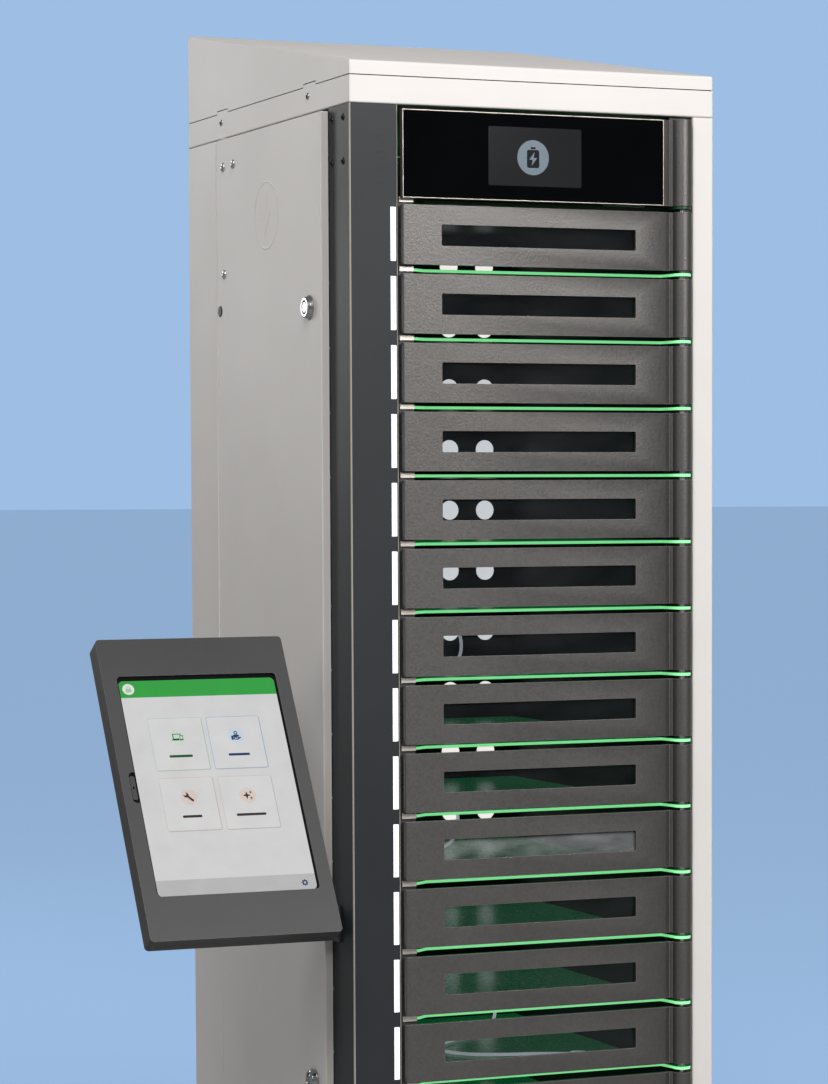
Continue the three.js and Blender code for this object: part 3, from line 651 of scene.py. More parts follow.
for bay in range(1, BAYS + 1):
    body = f"bay_door_{bay:02d}"
    base = bay_bottom(bay) + DOOR_RISE
    door = shown(
        f"door_face_{bay:02d}",
        DOOR_MESH,
        [DOOR_PAINT, DOOR_EDGE_HIGHLIGHT],
        body,
        [f"door_{bay:02d}"],
        lift=base,
    )
    # The rounding takes the lighter edge paint, a painted highlight.
    rounded(door, 0.7, segments=3, edge_look=1)
    hook = shown(f"latch_hook_{bay:02d}", HOOK_MESH, [STEEL], body, lift=base + DOOR_HEIGHT / 2)
    rounded(hook, 0.4)
    restyle(f"door_window_{bay:02d}", HAZY_PANE if bay == 10 else PANE, 0.3)

# ---- Locker carcass: shelves, walls, grommets ----


def shelf_mesh(edge):
    """A shelf with a cut-off front corner at the left and the ear for the hinge rod at the right."""
    outline = [(SHELF_LEFT, BAY_REAR), (SHELF_LEFT, 6), (SHELF_LEFT + 4, 6), (SHELF_LEFT + 16, SHELF_FRONT)]
    outline += [(SHELF_RIGHT - 4, SHELF_FRONT), *arc(HINGE_X, HINGE_Y, EAR_R, 165.6, 405, 24)]
    outline += [(SHELF_RIGHT + 6, 4.9), (SHELF_RIGHT, 4.9), (SHELF_RIGHT, BAY_REAR)]
    bm = bmesh.new()
    add_prism(bm, outline, upward(-SHELF / 2), SHELF)
    mesh = carved(bm, hinge_bore(-SHELF, SHELF))
    mesh.materials.clear()
    for look in (edge, SHELF_TOP_GLOW, SHELF_UNDER_SHADE):
        mesh.materials.append(look)
    # Each face takes its look by the way it faces: painted glow on top, painted shade beneath, the edge look
    # on the sides.
    for face in mesh.polygons:
        face.material_index = 1 if face.normal.z > 0.5 else 2 if face.normal.z < -0.5 else 0
    return mesh


def walls_mesh():
    bottom = BAY_BASE - SHELF / 2
    top = BAY_BASE + BAYS * PITCH + SHELF / 2
    bm = bmesh.new()
    add_box(bm, SHELF_LEFT, SHELF_LEFT + 1.5, 6, BAY_REAR + 1.5, bottom, top)
    add_box(bm, SHELF_RIGHT - 1.5, SHELF_RIGHT, 6, BAY_REAR + 1.5, bottom, top)
    add_box(bm, SHELF_LEFT + 1.5, SHELF_RIGHT - 1.5, BAY_REAR, BAY_REAR + 1.5, bottom, top)
    return mesh_of(bm, "bay_walls")


def grommet_mesh():
    """A white snap-in grommet with a rolled rim and a shallow dish."""
    r = HOLE_R
    profile = ((0, 0.5), (r - 5, 0.5), (r - 3, 0.8), (r - 1.4, 1.4), (r - 0.4, 1.4), (r, 0.8), (r, 0))
    bm = bmesh.new()
    add_turned(bm, profile, forward(0, BAY_REAR, 0), sides=48)
    return mesh_of(bm, "grommet")


# The lower shelves' edges take the painted glow; the top shelf's edges take the painted shade.
SHELF_MESH = shelf_mesh(SHELF_EDGE_GLOW)
TOP_SHELF_MESH = shelf_mesh(SHELF_UNDER_SHADE)
for level in range(BAYS + 1):
    shelf = shown(
        f"shelf_{level + 1:02d}",
        TOP_SHELF_MESH if level == BAYS else SHELF_MESH,
        [],
        stands_for=["locker_carcass"],
        lift=BAY_BASE + level * PITCH,
    )
    rounded(shelf, 0.35)
walls = shown("bay_walls", walls_mesh(), [WALL_PAINT], stands_for=["locker_carcass"])
rounded(walls, 0.3)
GROMMET_MESH = grommet_mesh()
# The grommets are white plastic with a painted glow.
for bay in range(1, BAYS + 1):
    for side, x in enumerate(HOLES_X):
        grommet = shown(
            f"grommet_{bay:02d}_{'ab'[side]}",
            GROMMET_MESH,
            [GLOWING_WHITE_PLASTIC],
            lift=bay_bottom(bay) + HOLE_RISE,
        )
        grommet.location.x += x * MM
        smooth(grommet)

restyle("latch_rail", RAIL_PAINT, 0.4)
restyle("hinge_rod", STEEL, 0.4)
restyle("hinge_channel", BLACK_PLASTIC, 0.4)


def latch_fingers():
    """The pressed tongues of the latch rail that show between the doors."""
    bm = bmesh.new()
    for level in range(1, BAYS + 1):
        z = BAY_BASE + level * PITCH
        add_box(bm, 51.6, 67, 0.2, 1.8, z - 2.2, z + 3.4)
    return mesh_of(bm, "latch_fingers")


rounded(shown("latch_fingers", latch_fingers(), [LATCH_ZINC]), 0.5)

# ---- Front column ----

COLUMN_WIDTH = 50.4
COLUMN_DEPTH = 53.6
PANEL_BOTTOM = 28.3
PANEL_TOP = 1178.7
LIGHT_LEFT = 42.3
LIGHT_RIGHT = 48.6
LIGHT_RISE = 7.7
LIGHT_HEIGHT = 52.2
COLUMN_SCREWS_Y = (46, 16)
COLUMN_SCREWS_Z = (1166.6, 1124.5)
MARK_X = 33
MARK_LOW = 1103
MARK_STEP = 15


def column_mesh():
    """The column's skin: its front, with a slot for each status light, and its two sides."""
    bm = bmesh.new()
    heights = [PANEL_BOTTOM]
    for bay in range(BAYS, 0, -1):
        heights += [bay_bottom(bay) + LIGHT_RISE, bay_bottom(bay) + LIGHT_RISE + LIGHT_HEIGHT]
    heights.append(PANEL_TOP)
    edges = (0, LIGHT_LEFT, LIGHT_RIGHT, COLUMN_WIDTH)
    for row, (z0, z1) in enumerate(zip(heights, heights[1:])):
        for column, (x0, x1) in enumerate(zip(edges, edges[1:])):
            if column == 1 and row % 2:
                continue
            add_face(bm, ((x0, 0, z0), (x1, 0, z0), (x1, 0, z1), (x0, 0, z1)))
        add_face(bm, ((0, COLUMN_DEPTH, z0), (0, 0, z0), (0, 0, z1), (0, COLUMN_DEPTH, z1)))
        inner = COLUMN_WIDTH
        add_face(bm, ((inner, 0, z0), (inner, 40, z0), (inner, 40, z1), (inner, 0, z1)))
    merge(bm)
    return mesh_of(bm, "column_skin", closed=False)


column = shown(
    "column_skin",
    column_mesh(),
    [COLUMN_PAINT, COLUMN_EDGE_HIGHLIGHT],
    stands_for=["left_front_column"],
)
# The bends take the lighter edge paint, a painted highlight.
sheet_metal(column, bend=1.4, edge_look=1)
restyle("light_guide", LIGHT_DIFFUSER, 0.2)


def screw(bm, place, radius, height):
    """A button-head screw with a drive recess."""
    drive = radius * 0.46
    dome = [math.radians(d) for d in (0, 20, 40, 58)]
    profile = [(radius * math.cos(a), height * math.sin(a)) for a in dome]
    profile += [(drive, height * 0.9), (drive * 0.96, height * 0.35), (0, height * 0.3)]
    add_turned(bm, profile[:5], place, sides=28)
    add_turned(bm, profile[4:], place, sides=6, look=1)


def small_screws(name, spots, radius, height, looks):
    bm = bmesh.new()
    for place in spots:
        screw(bm, place, radius, height)
    return smooth(shown(name, mesh_of(bm, name), looks), 40)


column_spots = [leftward(0, y, z) for y in COLUMN_SCREWS_Y for z in COLUMN_SCREWS_Z]
small_screws("column_screws", column_spots, 3.6, 1.6, [DARK_SCREW, BLACK_PLASTIC])


def column_mark():
    """A plain pressed pattern of four slanted bars at the top of the column."""
    bm = bmesh.new()
    for step in range(4):
        bar = ((-4.5, -1.4), (4.5, 1.6), (4.5, 3.4), (-4.5, 0.4))
        add_prism(bm, bar, forward(MARK_X, 0, MARK_LOW + MARK_STEP * step), 0.25)
    return mesh_of(bm, "column_mark")


rounded(shown("column_mark", column_mark(), [COLUMN_PAINT]), 0.1)

# ---- Outer panels ----

restyle("left_rear_post", CABINET_PAINT, 0.6)
restyle("rear_panel", CABINET_PAINT, 0.4)
restyle("power_inlet", BLACK_PLASTIC, 0.5)
restyle("base_tray", CABINET_PAINT, 0.6)
restyle("kick_panel", COLUMN_PAINT, 0.5)

RIGHT_FLANGE_LEFT = 370.1
COLLAR_BOTTOM = 1179
COLLAR_TOP = 1205.5
CAP_FRONT_TOP = 1220
CAP_REAR_TOP = 1300.8
TABS_Y = (105, 360.8)
TAB_HALF = 17
TAB_RISE = 3.2
COLLAR_SCREWS_Y = (110, 365)
COLLAR_SCREW_RISE = 17.4


def skin_mesh(name, faces):
    """An open skin of flat faces, whose points run anticlockwise as seen from outside."""
    bm = bmesh.new()
    for points in faces:
        add_face(bm, points)
    merge(bm)
    return mesh_of(bm, name, closed=False)


def right_panel_faces():
    z0, z1 = PANEL_BOTTOM, PANEL_TOP
    left, right = RIGHT_FLANGE_LEFT, WIDTH
    yield ((right, 0, z0), (right, DEPTH, z0), (right, DEPTH, z1), (right, 0, z1))
    yield ((left, 0, z0), (right, 0, z0), (right, 0, z1), (left, 0, z1))
    yield ((left, 20, z0), (left, 0, z0), (left, 0, z1), (left, 20, z1))


def side_outline(x, lower, upper, outward):
    """A side face from its lower and upper edges, each from front to rear."""
    points = [(x, y, z) for y, z in [*lower, *upper[::-1]]]
    return points if outward else points[::-1]


def collar_faces():
    z0, z1 = COLLAR_BOTTOM, COLLAR_TOP
    lower = [(0, z0), (DEPTH, z0)]
    upper = [(0, z1)]
    for y in TABS_Y:
        upper += [(y - TAB_HALF, z1), (y - TAB_HALF + 1, z1 + TAB_RISE)]
        upper += [(y + TAB_HALF - 1, z1 + TAB_RISE), (y + TAB_HALF, z1)]
    upper.append((DEPTH, z1))
    yield ((0, 0, z0), (WIDTH, 0, z0), (WIDTH, 0, z1), (0, 0, z1))
    yield ((WIDTH, DEPTH, z0), (0, DEPTH, z0), (0, DEPTH, z1), (WIDTH, DEPTH, z1))
    yield side_outline(WIDTH, lower, upper, True)
    yield side_outline(0, lower, upper, False)
    yield ((0, 0, z0), (0, DEPTH, z0), (WIDTH, DEPTH, z0), (WIDTH, 0, z0))


def cap_faces():
    z0 = COLLAR_TOP + 1.0
    notch = COLLAR_TOP + TAB_RISE + 1.0
    lower = [(0, z0)]
    for y in TABS_Y:
        lower += [(y - TAB_HALF - 0.8, z0), (y - TAB_HALF + 0.4, notch)]
        lower += [(y + TAB_HALF - 0.4, notch), (y + TAB_HALF + 0.8, z0)]
    lower.append((DEPTH, z0))
    front, rear = CAP_FRONT_TOP, CAP_REAR_TOP
    upper = [(0, front), (DEPTH, rear)]
    yield ((0, 0, z0), (WIDTH, 0, z0), (WIDTH, 0, front), (0, 0, front))
    yield ((0, 0, front), (WIDTH, 0, front), (WIDTH, DEPTH, rear), (0, DEPTH, rear))
    yield ((WIDTH, DEPTH, z0), (0, DEPTH, z0), (0, DEPTH, rear), (WIDTH, DEPTH, rear))
    yield side_outline(WIDTH, lower, upper, True)
    yield side_outline(0, lower, upper, False)


def panel(name, faces, node, bend=1.6, body="cabinet"):
    piece = shown(name, skin_mesh(name, faces), [CABINET_PAINT], body, [node])
    return sheet_metal(piece, bend=bend)


panel("right_panel_skin", right_panel_faces(), "right_side_panel")
panel("collar_skin", collar_faces(), "top_collar")
panel("cap_skin", cap_faces(), "sloped_cap", bend=2.0)


def joint_shadow_strip():
    """A black strip inside the joint between the collar and the cap: painted shade that shows dark through
    the gap.
    """
    bm = bmesh.new()
    inner, wide = 1.3, 6
    low, high = COLLAR_TOP - 2, COLLAR_TOP + 3
    add_box(bm, inner, WIDTH - inner, inner, inner + wide, low, high)
    add_box(bm, inner, WIDTH - inner, DEPTH - inner - wide, DEPTH - inner, low, high)
    add_box(bm, inner, inner + wide, inner + wide, DEPTH - inner - wide, low, high)
    add_box(bm, WIDTH - inner - wide, WIDTH - inner, inner + wide, DEPTH - inner - wide, low, high)
    return mesh_of(bm, "joint_shadow_strip")


# A painted shadow for the collar-cap joint.
shown("joint_shadow_strip", joint_shadow_strip(), [BLACK_GAP])
collar_spots = [leftward(0, y, COLLAR_BOTTOM + COLLAR_SCREW_RISE) for y in COLLAR_SCREWS_Y]
small_screws("collar_screws", collar_spots, 3.5, 1.6, [CHROME, BLACK_PLASTIC])

# ---- Service door and its locks ----

SERVICE_FRONT = 54.3
SERVICE_REAR = 359
SERVICE_BOTTOM = 31
SERVICE_TOP = 1176
SERVICE_PROUD = 9
SERVICE_INNER = -0.6
LOCK_Y = 85
LOCKS_Z = {"service_lock_upper": 987.6, "service_lock_lower": 221.3}
RIVETS = ((335.3, 1146.8), (304.3, 1147.5), (333.3, 1035))
PLUG = (346.7, 997)
PRESSED_MARK = (206, 1086.9)


def service_door_faces():
    x, inner = -SERVICE_PROUD, SERVICE_INNER
    y0, y1, z0, z1 = SERVICE_FRONT, SERVICE_REAR, SERVICE_BOTTOM, SERVICE_TOP
    yield ((x, y1, z0), (x, y0, z0), (x, y0, z1), (x, y1, z1))
    yield ((x, y0, z0), (inner, y0, z0), (inner, y0, z1), (x, y0, z1))
    yield ((inner, y1, z0), (x, y1, z0), (x, y1, z1), (inner, y1, z1))
    yield ((x, y0, z1), (inner, y0, z1), (inner, y1, z1), (x, y1, z1))
    yield ((x, y1, z0), (inner, y1, z0), (inner, y0, z0), (x, y0, z0))


panel("service_door_skin", service_door_faces(), "service_door", bend=1.2, body="service_door")
restyle("service_hinge_rod", STEEL, 0.3)


def rivets():
    profile = ((4.8, 0), (4.8, 0.5), (4.3, 1.3), (3.2, 2.0), (1.7, 2.4), (1.5, 1.9), (0, 1.8))
    bm = bmesh.new()
    for y, z in RIVETS:
        add_turned(bm, profile, leftward(-SERVICE_PROUD, y, z), sides=36)
    return mesh_of(bm, "rivets")


def rolled_edge():
    """The rolled rear edge of the service door."""
    radius = 1.7
    outline = arc(SERVICE_REAR - radius, 0.8, radius, 20, 160, 10)
    bm = bmesh.new()
    add_prism(bm, outline, lambda u, v, w: (-SERVICE_PROUD - v + 1.4, u, SERVICE_BOTTOM + 2 + w), 1141)
    return mesh_of(bm, "rolled_edge")


def blanking_plug():
    bm = bmesh.new()
    profile = ((5.6, 0), (5.6, 0.7), (5.0, 1.2), (0, 1.3))
    add_turned(bm, profile, leftward(-SERVICE_PROUD, *PLUG), sides=36)
    return mesh_of(bm, "blanking_plug")


def pressed_mark():
    """A shallow pressed ring with a plain bolt shape inside it."""
    place = leftward(-SERVICE_PROUD, *PRESSED_MARK)
    bm = bmesh.new()
    add_turned(bm, ((35, 0), (34.4, 0.2), (33.2, 0.2), (32.6, 0)), place, sides=72)
    bolt = ((4, 20), (-12, -3), (-1, -3), (-4, -20), (12, 3), (1, 3))
    add_prism(bm, bolt, place, 0.2)
    return mesh_of(bm, "pressed_mark")


smooth(shown("rolled_edge", rolled_edge(), [CABINET_PAINT], "service_door"))
smooth(shown("service_rivets", rivets(), [STEEL], "service_door"))
smooth(shown("blanking_plug", blanking_plug(), [BLACK_PLASTIC], "service_door"))
rounded(shown("pressed_mark", pressed_mark(), [CABINET_PAINT], "service_door"), 0.12)


def lock_mesh(z):
    """A cam lock: a flanged head with a notched key disc, the barrel and the blade."""
    place = leftward(-SERVICE_PROUD, LOCK_Y, z)
    bm = bmesh.new()
    barrel = ((8.4, -12.5), (8.4, 0.3))
    head = ((12, 0.3), (12, 1.4), (11.2, 2.4), (10.2, 5.2), (9.2, 6), (7.2, 6), (6.8, 4.4))
    add_turned(bm, barrel + head, place, sides=56)
    add_turned(bm, ((6.8, 4.4), (0, 4.4)), place, sides=56)
    add_turned(bm, ((5.6, 4.4), (5.6, 5.4), (5.0, 5.8), (0, 5.8)), place, sides=40)
    slot = [(-0.9, -3.6), (0.9, -3.6), (0.9, 3.6), (-0.9, 3.6)]
    add_prism(bm, slot, leftward(-SERVICE_PROUD - 5.75, LOCK_Y, z), 0.12, look=1)
    for turn in range(4):
        angle = math.radians(45 + 90 * turn)
        dy, dz = 6.2 * math.cos(angle), 6.2 * math.sin(angle)
        notch = round_rectangle(-1.1, 1.1, -1.1, 1.1, 0.6)
        add_prism(bm, notch, leftward(-SERVICE_PROUD - 4.3, LOCK_Y + dy, z + dz), 0.5, look=1)
    add_box(bm, 2, 4, LOCK_Y - 8, LOCK_Y + 8, z - 10, z + 42)
    return mesh_of(bm, "lock")


for name, z in LOCKS_Z.items():
    lock = shown(f"{name}_detail", lock_mesh(z), [CHROME, BLACK_PLASTIC], name, [name])
    rounded(lock, 0.25)

# ---- Display ----

display = shown(
    "display_housing",
    door_mesh(DISPLAY_TOP - DISPLAY_BOTTOM, False),
    [DOOR_PAINT, DOOR_EDGE_HIGHLIGHT],
    stands_for=["display_frame"],
    lift=DISPLAY_BOTTOM,
)
# The rounding takes the lighter edge paint, a painted highlight.
rounded(display, 0.7, segments=3, edge_look=1)
restyle("display_glass", DISPLAY_GLASS, 0.4)
restyle("lcd_module", BLACK_PLASTIC, 0.4)


def frame_ring(bm, x0, x1, z0, z1, width, y, depth):
    """A flat rectangular ring that faces the front."""
    outer = ((x0, z0), (x1, z0), (x1, z1), (x0, z1))
    x2, x3, z2, z3 = x0 + width, x1 - width, z0 + width, z1 - width
    inner = ((x2, z2), (x3, z2), (x3, z3), (x2, z3))
    steps = ((outer, 0), (outer, depth), (inner, depth), (inner, 0))
    rings = [[bm.verts.new((x, y - w, z)) for x, z in ring] for ring, w in steps]
    for low, high in zip(rings, [*rings[1:], rings[0]]):
        for i in range(4):
            j = (i + 1) % 4
            bm.faces.new((low[i], low[j], high[j], high[i]))


def display_trim():
    bm = bmesh.new()
    left, right = DOOR_LEFT + 0.2, DOOR_FACE_RIGHT - 1.1
    frame_ring(bm, left, right, DISPLAY_BOTTOM + 0.2, DISPLAY_TOP - 0.2, 0.6, DOOR_FRONT, 0.4)
    return mesh_of(bm, "display_trim")


LCD_OUTLINE = (143, 243, 1104, 1161)
LCD_MIDDLE = (190.8, 1131.9)


def display_picture():
    """The lit area behind the glass, with a charging symbol in a disc."""
    y = DOOR_FRONT - 0.2
    bm = bmesh.new()
    add_prism(bm, round_rectangle(*LCD_OUTLINE, 1.5), lambda u, v, w: (u, y - w, v), 0.04)
    x, z = LCD_MIDDLE
    centre = forward(x, y - 0.04, z)
    add_turned(bm, ((17, 0), (17, 0.03), (0, 0.03)), centre, sides=64, look=1)
    cell = forward(x, y - 0.07, z)
    add_prism(bm, round_rectangle(-6.6, 6.6, -10, 7.6, 2), cell, 0.02)
    add_prism(bm, round_rectangle(-2.6, 2.6, 8.2, 10.2, 0.7), cell, 0.02)
    bolt = ((1.6, 5.6), (-4.2, -2), (-0.4, -2), (-1.6, -8), (4.2, -0.2), (0.4, -0.2))
    add_prism(bm, bolt, forward(x, y - 0.09, z), 0.02, look=1)
    return mesh_of(bm, "display_picture")


rounded(shown("display_trim", display_trim(), [BRONZE]), 0.12)
shown("display_picture", display_picture(), [LCD_GLASS, LCD_MARK])

# ---- Electronics inside ----

restyle("main_controller", BLACK_PLASTIC, 0.6)
restyle("charger_rail", BLACK_PLASTIC, 0.6)

# ---- Tablet in its enclosure ----

TABLET_TILT = math.radians(31)
TABLET_CENTRE = (-157.7, -54, 533.4)
TABLET_PLACE = Matrix.Translation(TABLET_CENTRE) @ Matrix.Rotation(-TABLET_TILT, 4, "X")
NOTCH_X = -82.2
SCREEN_FACE = 2.3

restyle("tablet_bracket", ENCLOSURE_PAINT, 0.6)
# The front cover's rounded edges take the lighter edge paint, a painted highlight.
restyle("tablet_front_cover", ENCLOSURE_PAINT, 0.6, segments=3, edge=ENCLOSURE_EDGE_HIGHLIGHT)
restyle("tablet_back_cover", ENCLOSURE_PAINT, 0.7, segments=3)
restyle("tablet", BLACK_GLASS, 0.5)


def lit(name, *colour):
    return glowing(name, rgb(*colour), 0.9, rgb(12, 12, 12), roughness=0.12)


SCREEN_LOOKS = {
    "page": lit("screen_page", 215, 215, 216),
    "header": lit("screen_header", 50, 163, 66),
    "footer": lit("screen_footer", 189, 189, 190),
    "tile": lit("screen_tile", 218, 218, 219),
    "green": lit("screen_green", 168, 205, 172),
    "blue": lit("screen_blue", 128, 164, 208),
    "tan": lit("screen_tan", 208, 184, 166),
    "pale_green": lit("screen_pale_green", 205, 222, 206),
    "pale_blue": lit("screen_pale_blue", 203, 217, 229),
    "pale_tan": lit("screen_pale_tan", 222, 207, 197),
    "forest": lit("screen_forest", 26, 84, 42),
    "navy": lit("screen_navy", 30, 58, 104),
    "brown": lit("screen_brown", 52, 44, 42),
    "shadow": lit("screen_shadow", 186, 186, 186),
    "white": lit("screen_white", 232, 236, 233),
    "black": lit("screen_black", 6, 7, 8),
}
LOOK_INDEX = {name: i for i, name in enumerate(SCREEN_LOOKS)}


class Screen:
    """Thin flat shapes on the tablet's face, in millimetres from its centre, stacked as they are drawn."""

    def __init__(self):
        self.bm = bmesh.new()
        self.layer = 0

    def shape(self, outline, look):
        self.layer += 1
        out = 0.010 * self.layer
        face = SCREEN_FACE - 0.05
        points = [(TABLET_PLACE @ Vector((u, face - out, v))) for u, v in outline]
        add_face(self.bm, points, LOOK_INDEX[look])

    def disc(self, x, z, radius, look, sides=32):
        self.shape(arc(x, z, radius, 0, 360 - 360 / sides, sides - 1), look)

    def block(self, x, z, width, height, look, corner=0.6):
        sides = (x - width / 2, x + width / 2, z - height / 2, z + height / 2)
        self.shape(round_rectangle(*sides, corner, 3), look)


SCREEN_LEFT, SCREEN_RIGHT = -77.7, 78.3
SCREEN_LOW, SCREEN_HIGH = -111.6, 112.6
SCREEN_CORNER = 5


def draw_screen():
    middle = (SCREEN_LEFT + SCREEN_RIGHT) / 2
    width = SCREEN_RIGHT - SCREEN_LEFT
    s = Screen()
    s.shape(round_rectangle(SCREEN_LEFT, SCREEN_RIGHT, SCREEN_LOW, SCREEN_HIGH, SCREEN_CORNER), "page")
    s.block(middle, SCREEN_HIGH - 8.9, width, 17.8, "header", SCREEN_CORNER)
    s.block(middle, SCREEN_HIGH - 12.8, width, 10, "header", 0.2)
    s.disc(-68.9, 103.8, 5.8, "white")
    padlock(s, -68.9, 103.4)
    s.block(middle, SCREEN_LOW + 8.2, width, 16.4, "footer", SCREEN_CORNER)
    s.block(middle, SCREEN_LOW + 11.4, width, 10, "footer", 0.2)
    gear(s, 67.1, -104.2)
    tiles = (
        (-29.6, 44.6, "green", "pale_green", "forest", devices, 23.2),
        (28.2, 44.4, "blue", "pale_blue", "navy", person_and_hand, 21.4),
        (-30.0, -18.4, "tan", "pale_tan", "brown", wrench, 19.2),
        (28.2, -18.8, "tan", "pale_tan", "brown", sparkles, 29.6),
    )
    for x, z, rim, pale, ink, mark, bar in tiles:
        s.block(x + 0.4, z - 0.6, 53.4, 55.2, "shadow", 1.8)
        s.block(x, z, 53.2, 55, rim, 1.6)
        s.block(x, z, 52.4, 54.2, "tile", 1.3)
        s.disc(x, z + 6.9, 8.3, pale)
        mark(s, x, z + 6.9, ink, pale)
        s.block(x, z - 12.9, bar, 2.6, ink, 1.2)
    looks = list(SCREEN_LOOKS.values())
    return shown("tablet_picture", mesh_of(s.bm, "tablet_picture"), looks)


def padlock(s, x, z):
    s.block(x, z - 0.8, 5.6, 4.4, "green", 0.7)
    s.block(x, z + 2.2, 3.4, 3, "green", 1.3)
    s.block(x, z + 1.9, 2, 1.8, "white", 0.8)


def gear(s, x, z):
    """A toothed wheel with eight teeth and a hole."""
    outline = []
    for tooth in range(8):
        for turn, radius in ((-13, 2.5), (-8, 3.4), (8, 3.4), (13, 2.5)):
            angle = math.radians(45 * tooth + turn)
            outline.append((x + radius * math.cos(angle), z + radius * math.sin(angle)))
    s.shape(outline, "navy")
    s.disc(x, z, 1.2, "footer", 24)


def devices(s, x, z, ink, pale):
    """A laptop with a handset in front of it."""
    s.block(x - 0.6, z + 0.9, 8.4, 5.8, ink, 0.6)
    s.block(x - 0.6, z + 0.9, 6.6, 4.2, pale, 0.3)
    s.block(x - 0.6, z - 2.6, 10.6, 1.2, ink, 0.5)
    s.block(x + 3.7, z - 0.6, 4.2, 6.2, pale, 0.7)
    s.block(x + 3.7, z - 0.6, 3.4, 5.4, ink, 0.6)
    s.block(x + 3.7, z - 0.3, 2.2, 3.4, pale, 0.3)


def person_and_hand(s, x, z, ink, pale):
    s.disc(x + 0.4, z + 3, 1.9, ink, 24)
    s.disc(x + 0.4, z + 3, 1.0, pale, 20)
    s.block(x + 0.4, z - 0.2, 6.2, 2.4, ink, 1.1)
    s.block(x - 3.6, z - 2.2, 2, 4.4, ink, 0.4)
    hand = ((-2.4, -0.8), (0.4, -0.8), (1.6, -2), (4.8, -1.4), (5.2, -2.4), (1.4, -4.6), (-2.4, -4))
    s.shape([(x + u, z + v) for u, v in hand], ink)
    palm = ((-1.2, -1.8), (0.6, -2.6), (2.4, -2.8), (1, -3.6), (-1.2, -3.2))
    s.shape([(x + u, z + v) for u, v in palm], pale)


def wrench(s, x, z, ink, pale):
    s.disc(x - 2.4, z + 2.4, 2.6, ink, 24)
    s.shape([(x - 5.4, z + 3.4), (x - 3.4, z + 5.4), (x - 1.6, z + 3.2), (x - 3.2, z + 1.6)], pale)
    s.shape([(x - 2.2, z + 0.6), (x - 0.6, z + 2.2), (x + 4.8, z - 3.2), (x + 3.2, z - 4.8)], ink)


def sparkles(s, x, z, ink, _pale):
    for dx, dz, size in ((-1, 0, 4.2), (3.2, 3.2, 1.9), (3.2, -3, 1.9)):
        angles = [math.radians(45 * i) for i in range(8)]
        radii = [size if i % 2 == 0 else size * 0.36 for i in range(8)]
        star = [(x + dx + r * math.cos(a), z + dz + r * math.sin(a)) for r, a in zip(radii, angles)]
        s.shape(star, ink)


draw_screen()


def tablet_camera():
    """The dark camera bump in the notch at the left of the screen, and the light catch above it."""
    bm = bmesh.new()

    def place(u, v, w):
        return tuple(TABLET_PLACE @ Vector((NOTCH_X + u, SCREEN_FACE - w, v)))

    add_prism(bm, round_rectangle(-2.4, 2.6, -12.5, 12.5, 2.2), place, 1.2)
    add_turned(bm, ((1.2, 1.2), (1.2, 1.5), (0.9, 1.7), (0, 1.7)), place, sides=24, look=1)
    return mesh_of(bm, "tablet_camera")


rounded(shown("tablet_camera", tablet_camera(), [BLACK_PLASTIC, BLACK_GLASS]), 0.3)

# ---- Floor, lights and surroundings ----


def make_floor():
    """A pale blue floor. Only the view of it is blue: it lights the object from below with a plain grey."""
    n = Nodes("floor")
    tone = n.noise(0.8, detail=2)
    grain = n.bump(n.noise(400, detail=2), 0.05, 0.001)
    skin = {"Roughness": 0.9, "Specular IOR Level": 0.1, "Normal": grain}
    tint = (0.168, 0.252, 0.392, 1)
    seen = {
        **skin,
        "Base Color": n.blend(n.spread(tone, 0, 1), shade(tint, 0.99), shade(tint, 1.01)),
        "Emission Color": (0.182, 0.286, 0.430, 1),
        "Emission Strength": 1.0,
    }
    grey = n.blend(n.spread(tone, 0, 1), (0.31, 0.31, 0.31, 1), (0.33, 0.33, 0.33, 1))
    plain = {**skin, "Base Color": grey}
    view = n.add("ShaderNodeBsdfPrincipled", seen).outputs[0]
    bounce = n.add("ShaderNodeBsdfPrincipled", plain).outputs[0]
    looking = n.add("ShaderNodeLightPath").outputs["Is Camera Ray"]
    material = n.finish(n.add("ShaderNodeMixShader", {0: looking, 1: bounce, 2: view}).outputs[0])
    bm = bmesh.new()
    bmesh.ops.create_circle(bm, cap_ends=True, segments=96, radius=200)
    mesh = bpy.data.meshes.new("floor")
    bm.to_mesh(mesh)
    bm.free()
    mesh.materials.append(material)
    floor = bpy.data.objects.new("floor", mesh)
    bpy.context.scene.collection.objects.link(floor)
    floor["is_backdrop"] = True


def aim(light, place, target):
    light.location = place
    light.rotation_mode = "QUATERNION"
    light.rotation_quaternion = (Vector(place) - Vector(target)).to_track_quat("Z", "Y")
    bpy.context.scene.collection.objects.link(light)


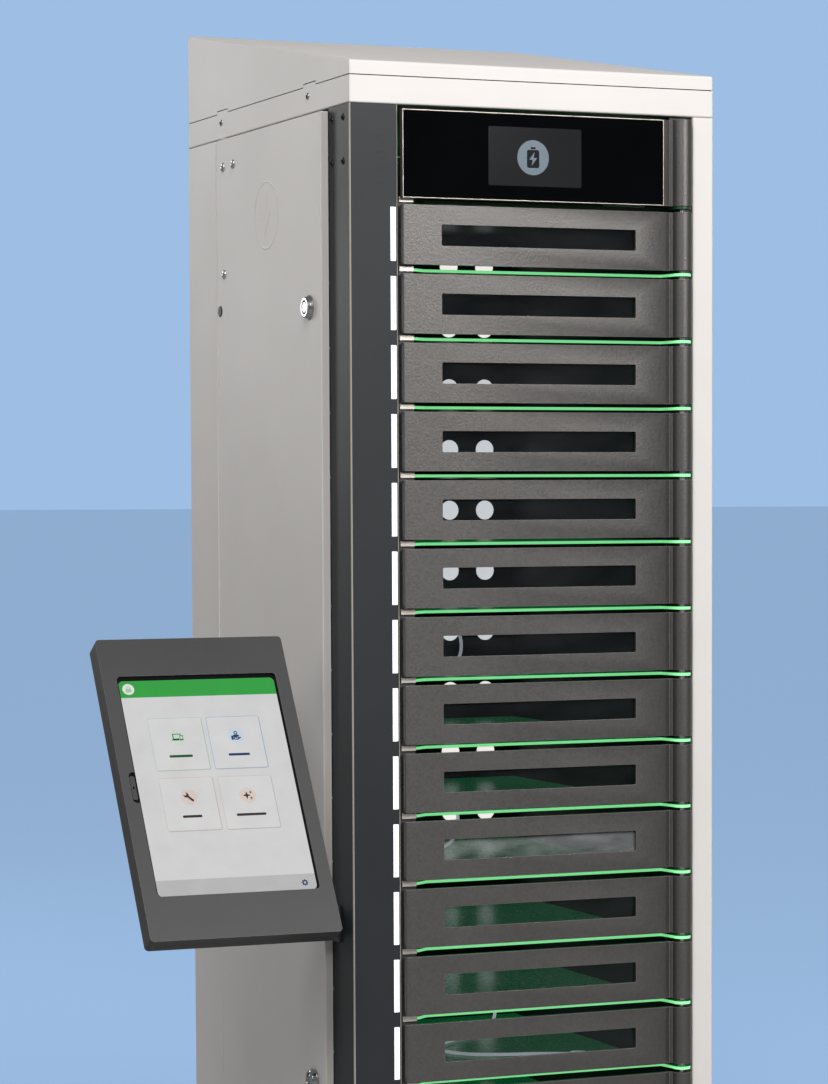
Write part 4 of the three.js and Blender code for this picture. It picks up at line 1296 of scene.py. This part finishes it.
def softbox(name, place, target, width, height, power, colour=(1, 1, 1)):
    data = bpy.data.lights.new(name, "AREA")
    data.shape = "RECTANGLE"
    data.size, data.size_y = width, height
    data.energy = power
    data.color = colour
    aim(bpy.data.objects.new(name, data), place, target)


def make_lights():
    sun = bpy.data.lights.new("key", "SUN")
    sun.energy = 1.1
    sun.angle = math.radians(30)
    sun.color = (1.0, 0.985, 0.965)
    aim(bpy.data.objects.new("key", sun), (-0.9, -2.4, 2.9), (0, 0, 0))
    softbox("front_box", (0.98, -3.2, 2.3), (0, -0.24, 1.0), 1.7, 1.1, 100, (1.0, 0.985, 0.965))
    softbox("key_box", (-1.9, -3.1, 2.7), (-0.1, -0.2, 0.9), 1.0, 1.0, 46, (1.0, 0.985, 0.97))
    softbox("side_box", (-3.1, -1.45, 2.3), (-0.2, -0.2, 1.0), 0.5, 1.9, 13, (1.0, 0.985, 0.965))
    softbox("rear_box", (-1.7, 3.0, 1.9), (-0.1, 0.2, 0.8), 0.9, 1.8, 26, (1.0, 0.99, 0.98))


def make_world():
    world = bpy.data.worlds.new("studio")
    world.use_nodes = True
    tree = world.node_tree
    tree.nodes.clear()
    output = tree.nodes.new("ShaderNodeOutputWorld")
    mix = tree.nodes.new("ShaderNodeMixShader")
    seen = tree.nodes.new("ShaderNodeBackground")
    seen.inputs["Color"].default_value = rgb(158, 190, 228)
    fill = tree.nodes.new("ShaderNodeBackground")
    fill.inputs["Color"].default_value = (0.98, 0.985, 1.0, 1)
    fill.inputs["Strength"].default_value = 0.24
    path = tree.nodes.new("ShaderNodeLightPath")
    tree.links.new(path.outputs["Is Camera Ray"], mix.inputs[0])
    tree.links.new(fill.outputs[0], mix.inputs[1])
    tree.links.new(seen.outputs[0], mix.inputs[2])
    tree.links.new(mix.outputs[0], output.inputs["Surface"])
    bpy.context.scene.world = world


make_floor()
make_lights()
make_world()
bpy.context.scene.view_settings.view_transform = "Standard"

boxes = {"cad": cad_box, "visual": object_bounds()}
{name: [list(corner) for corner in box] for name, box in boxes.items()}
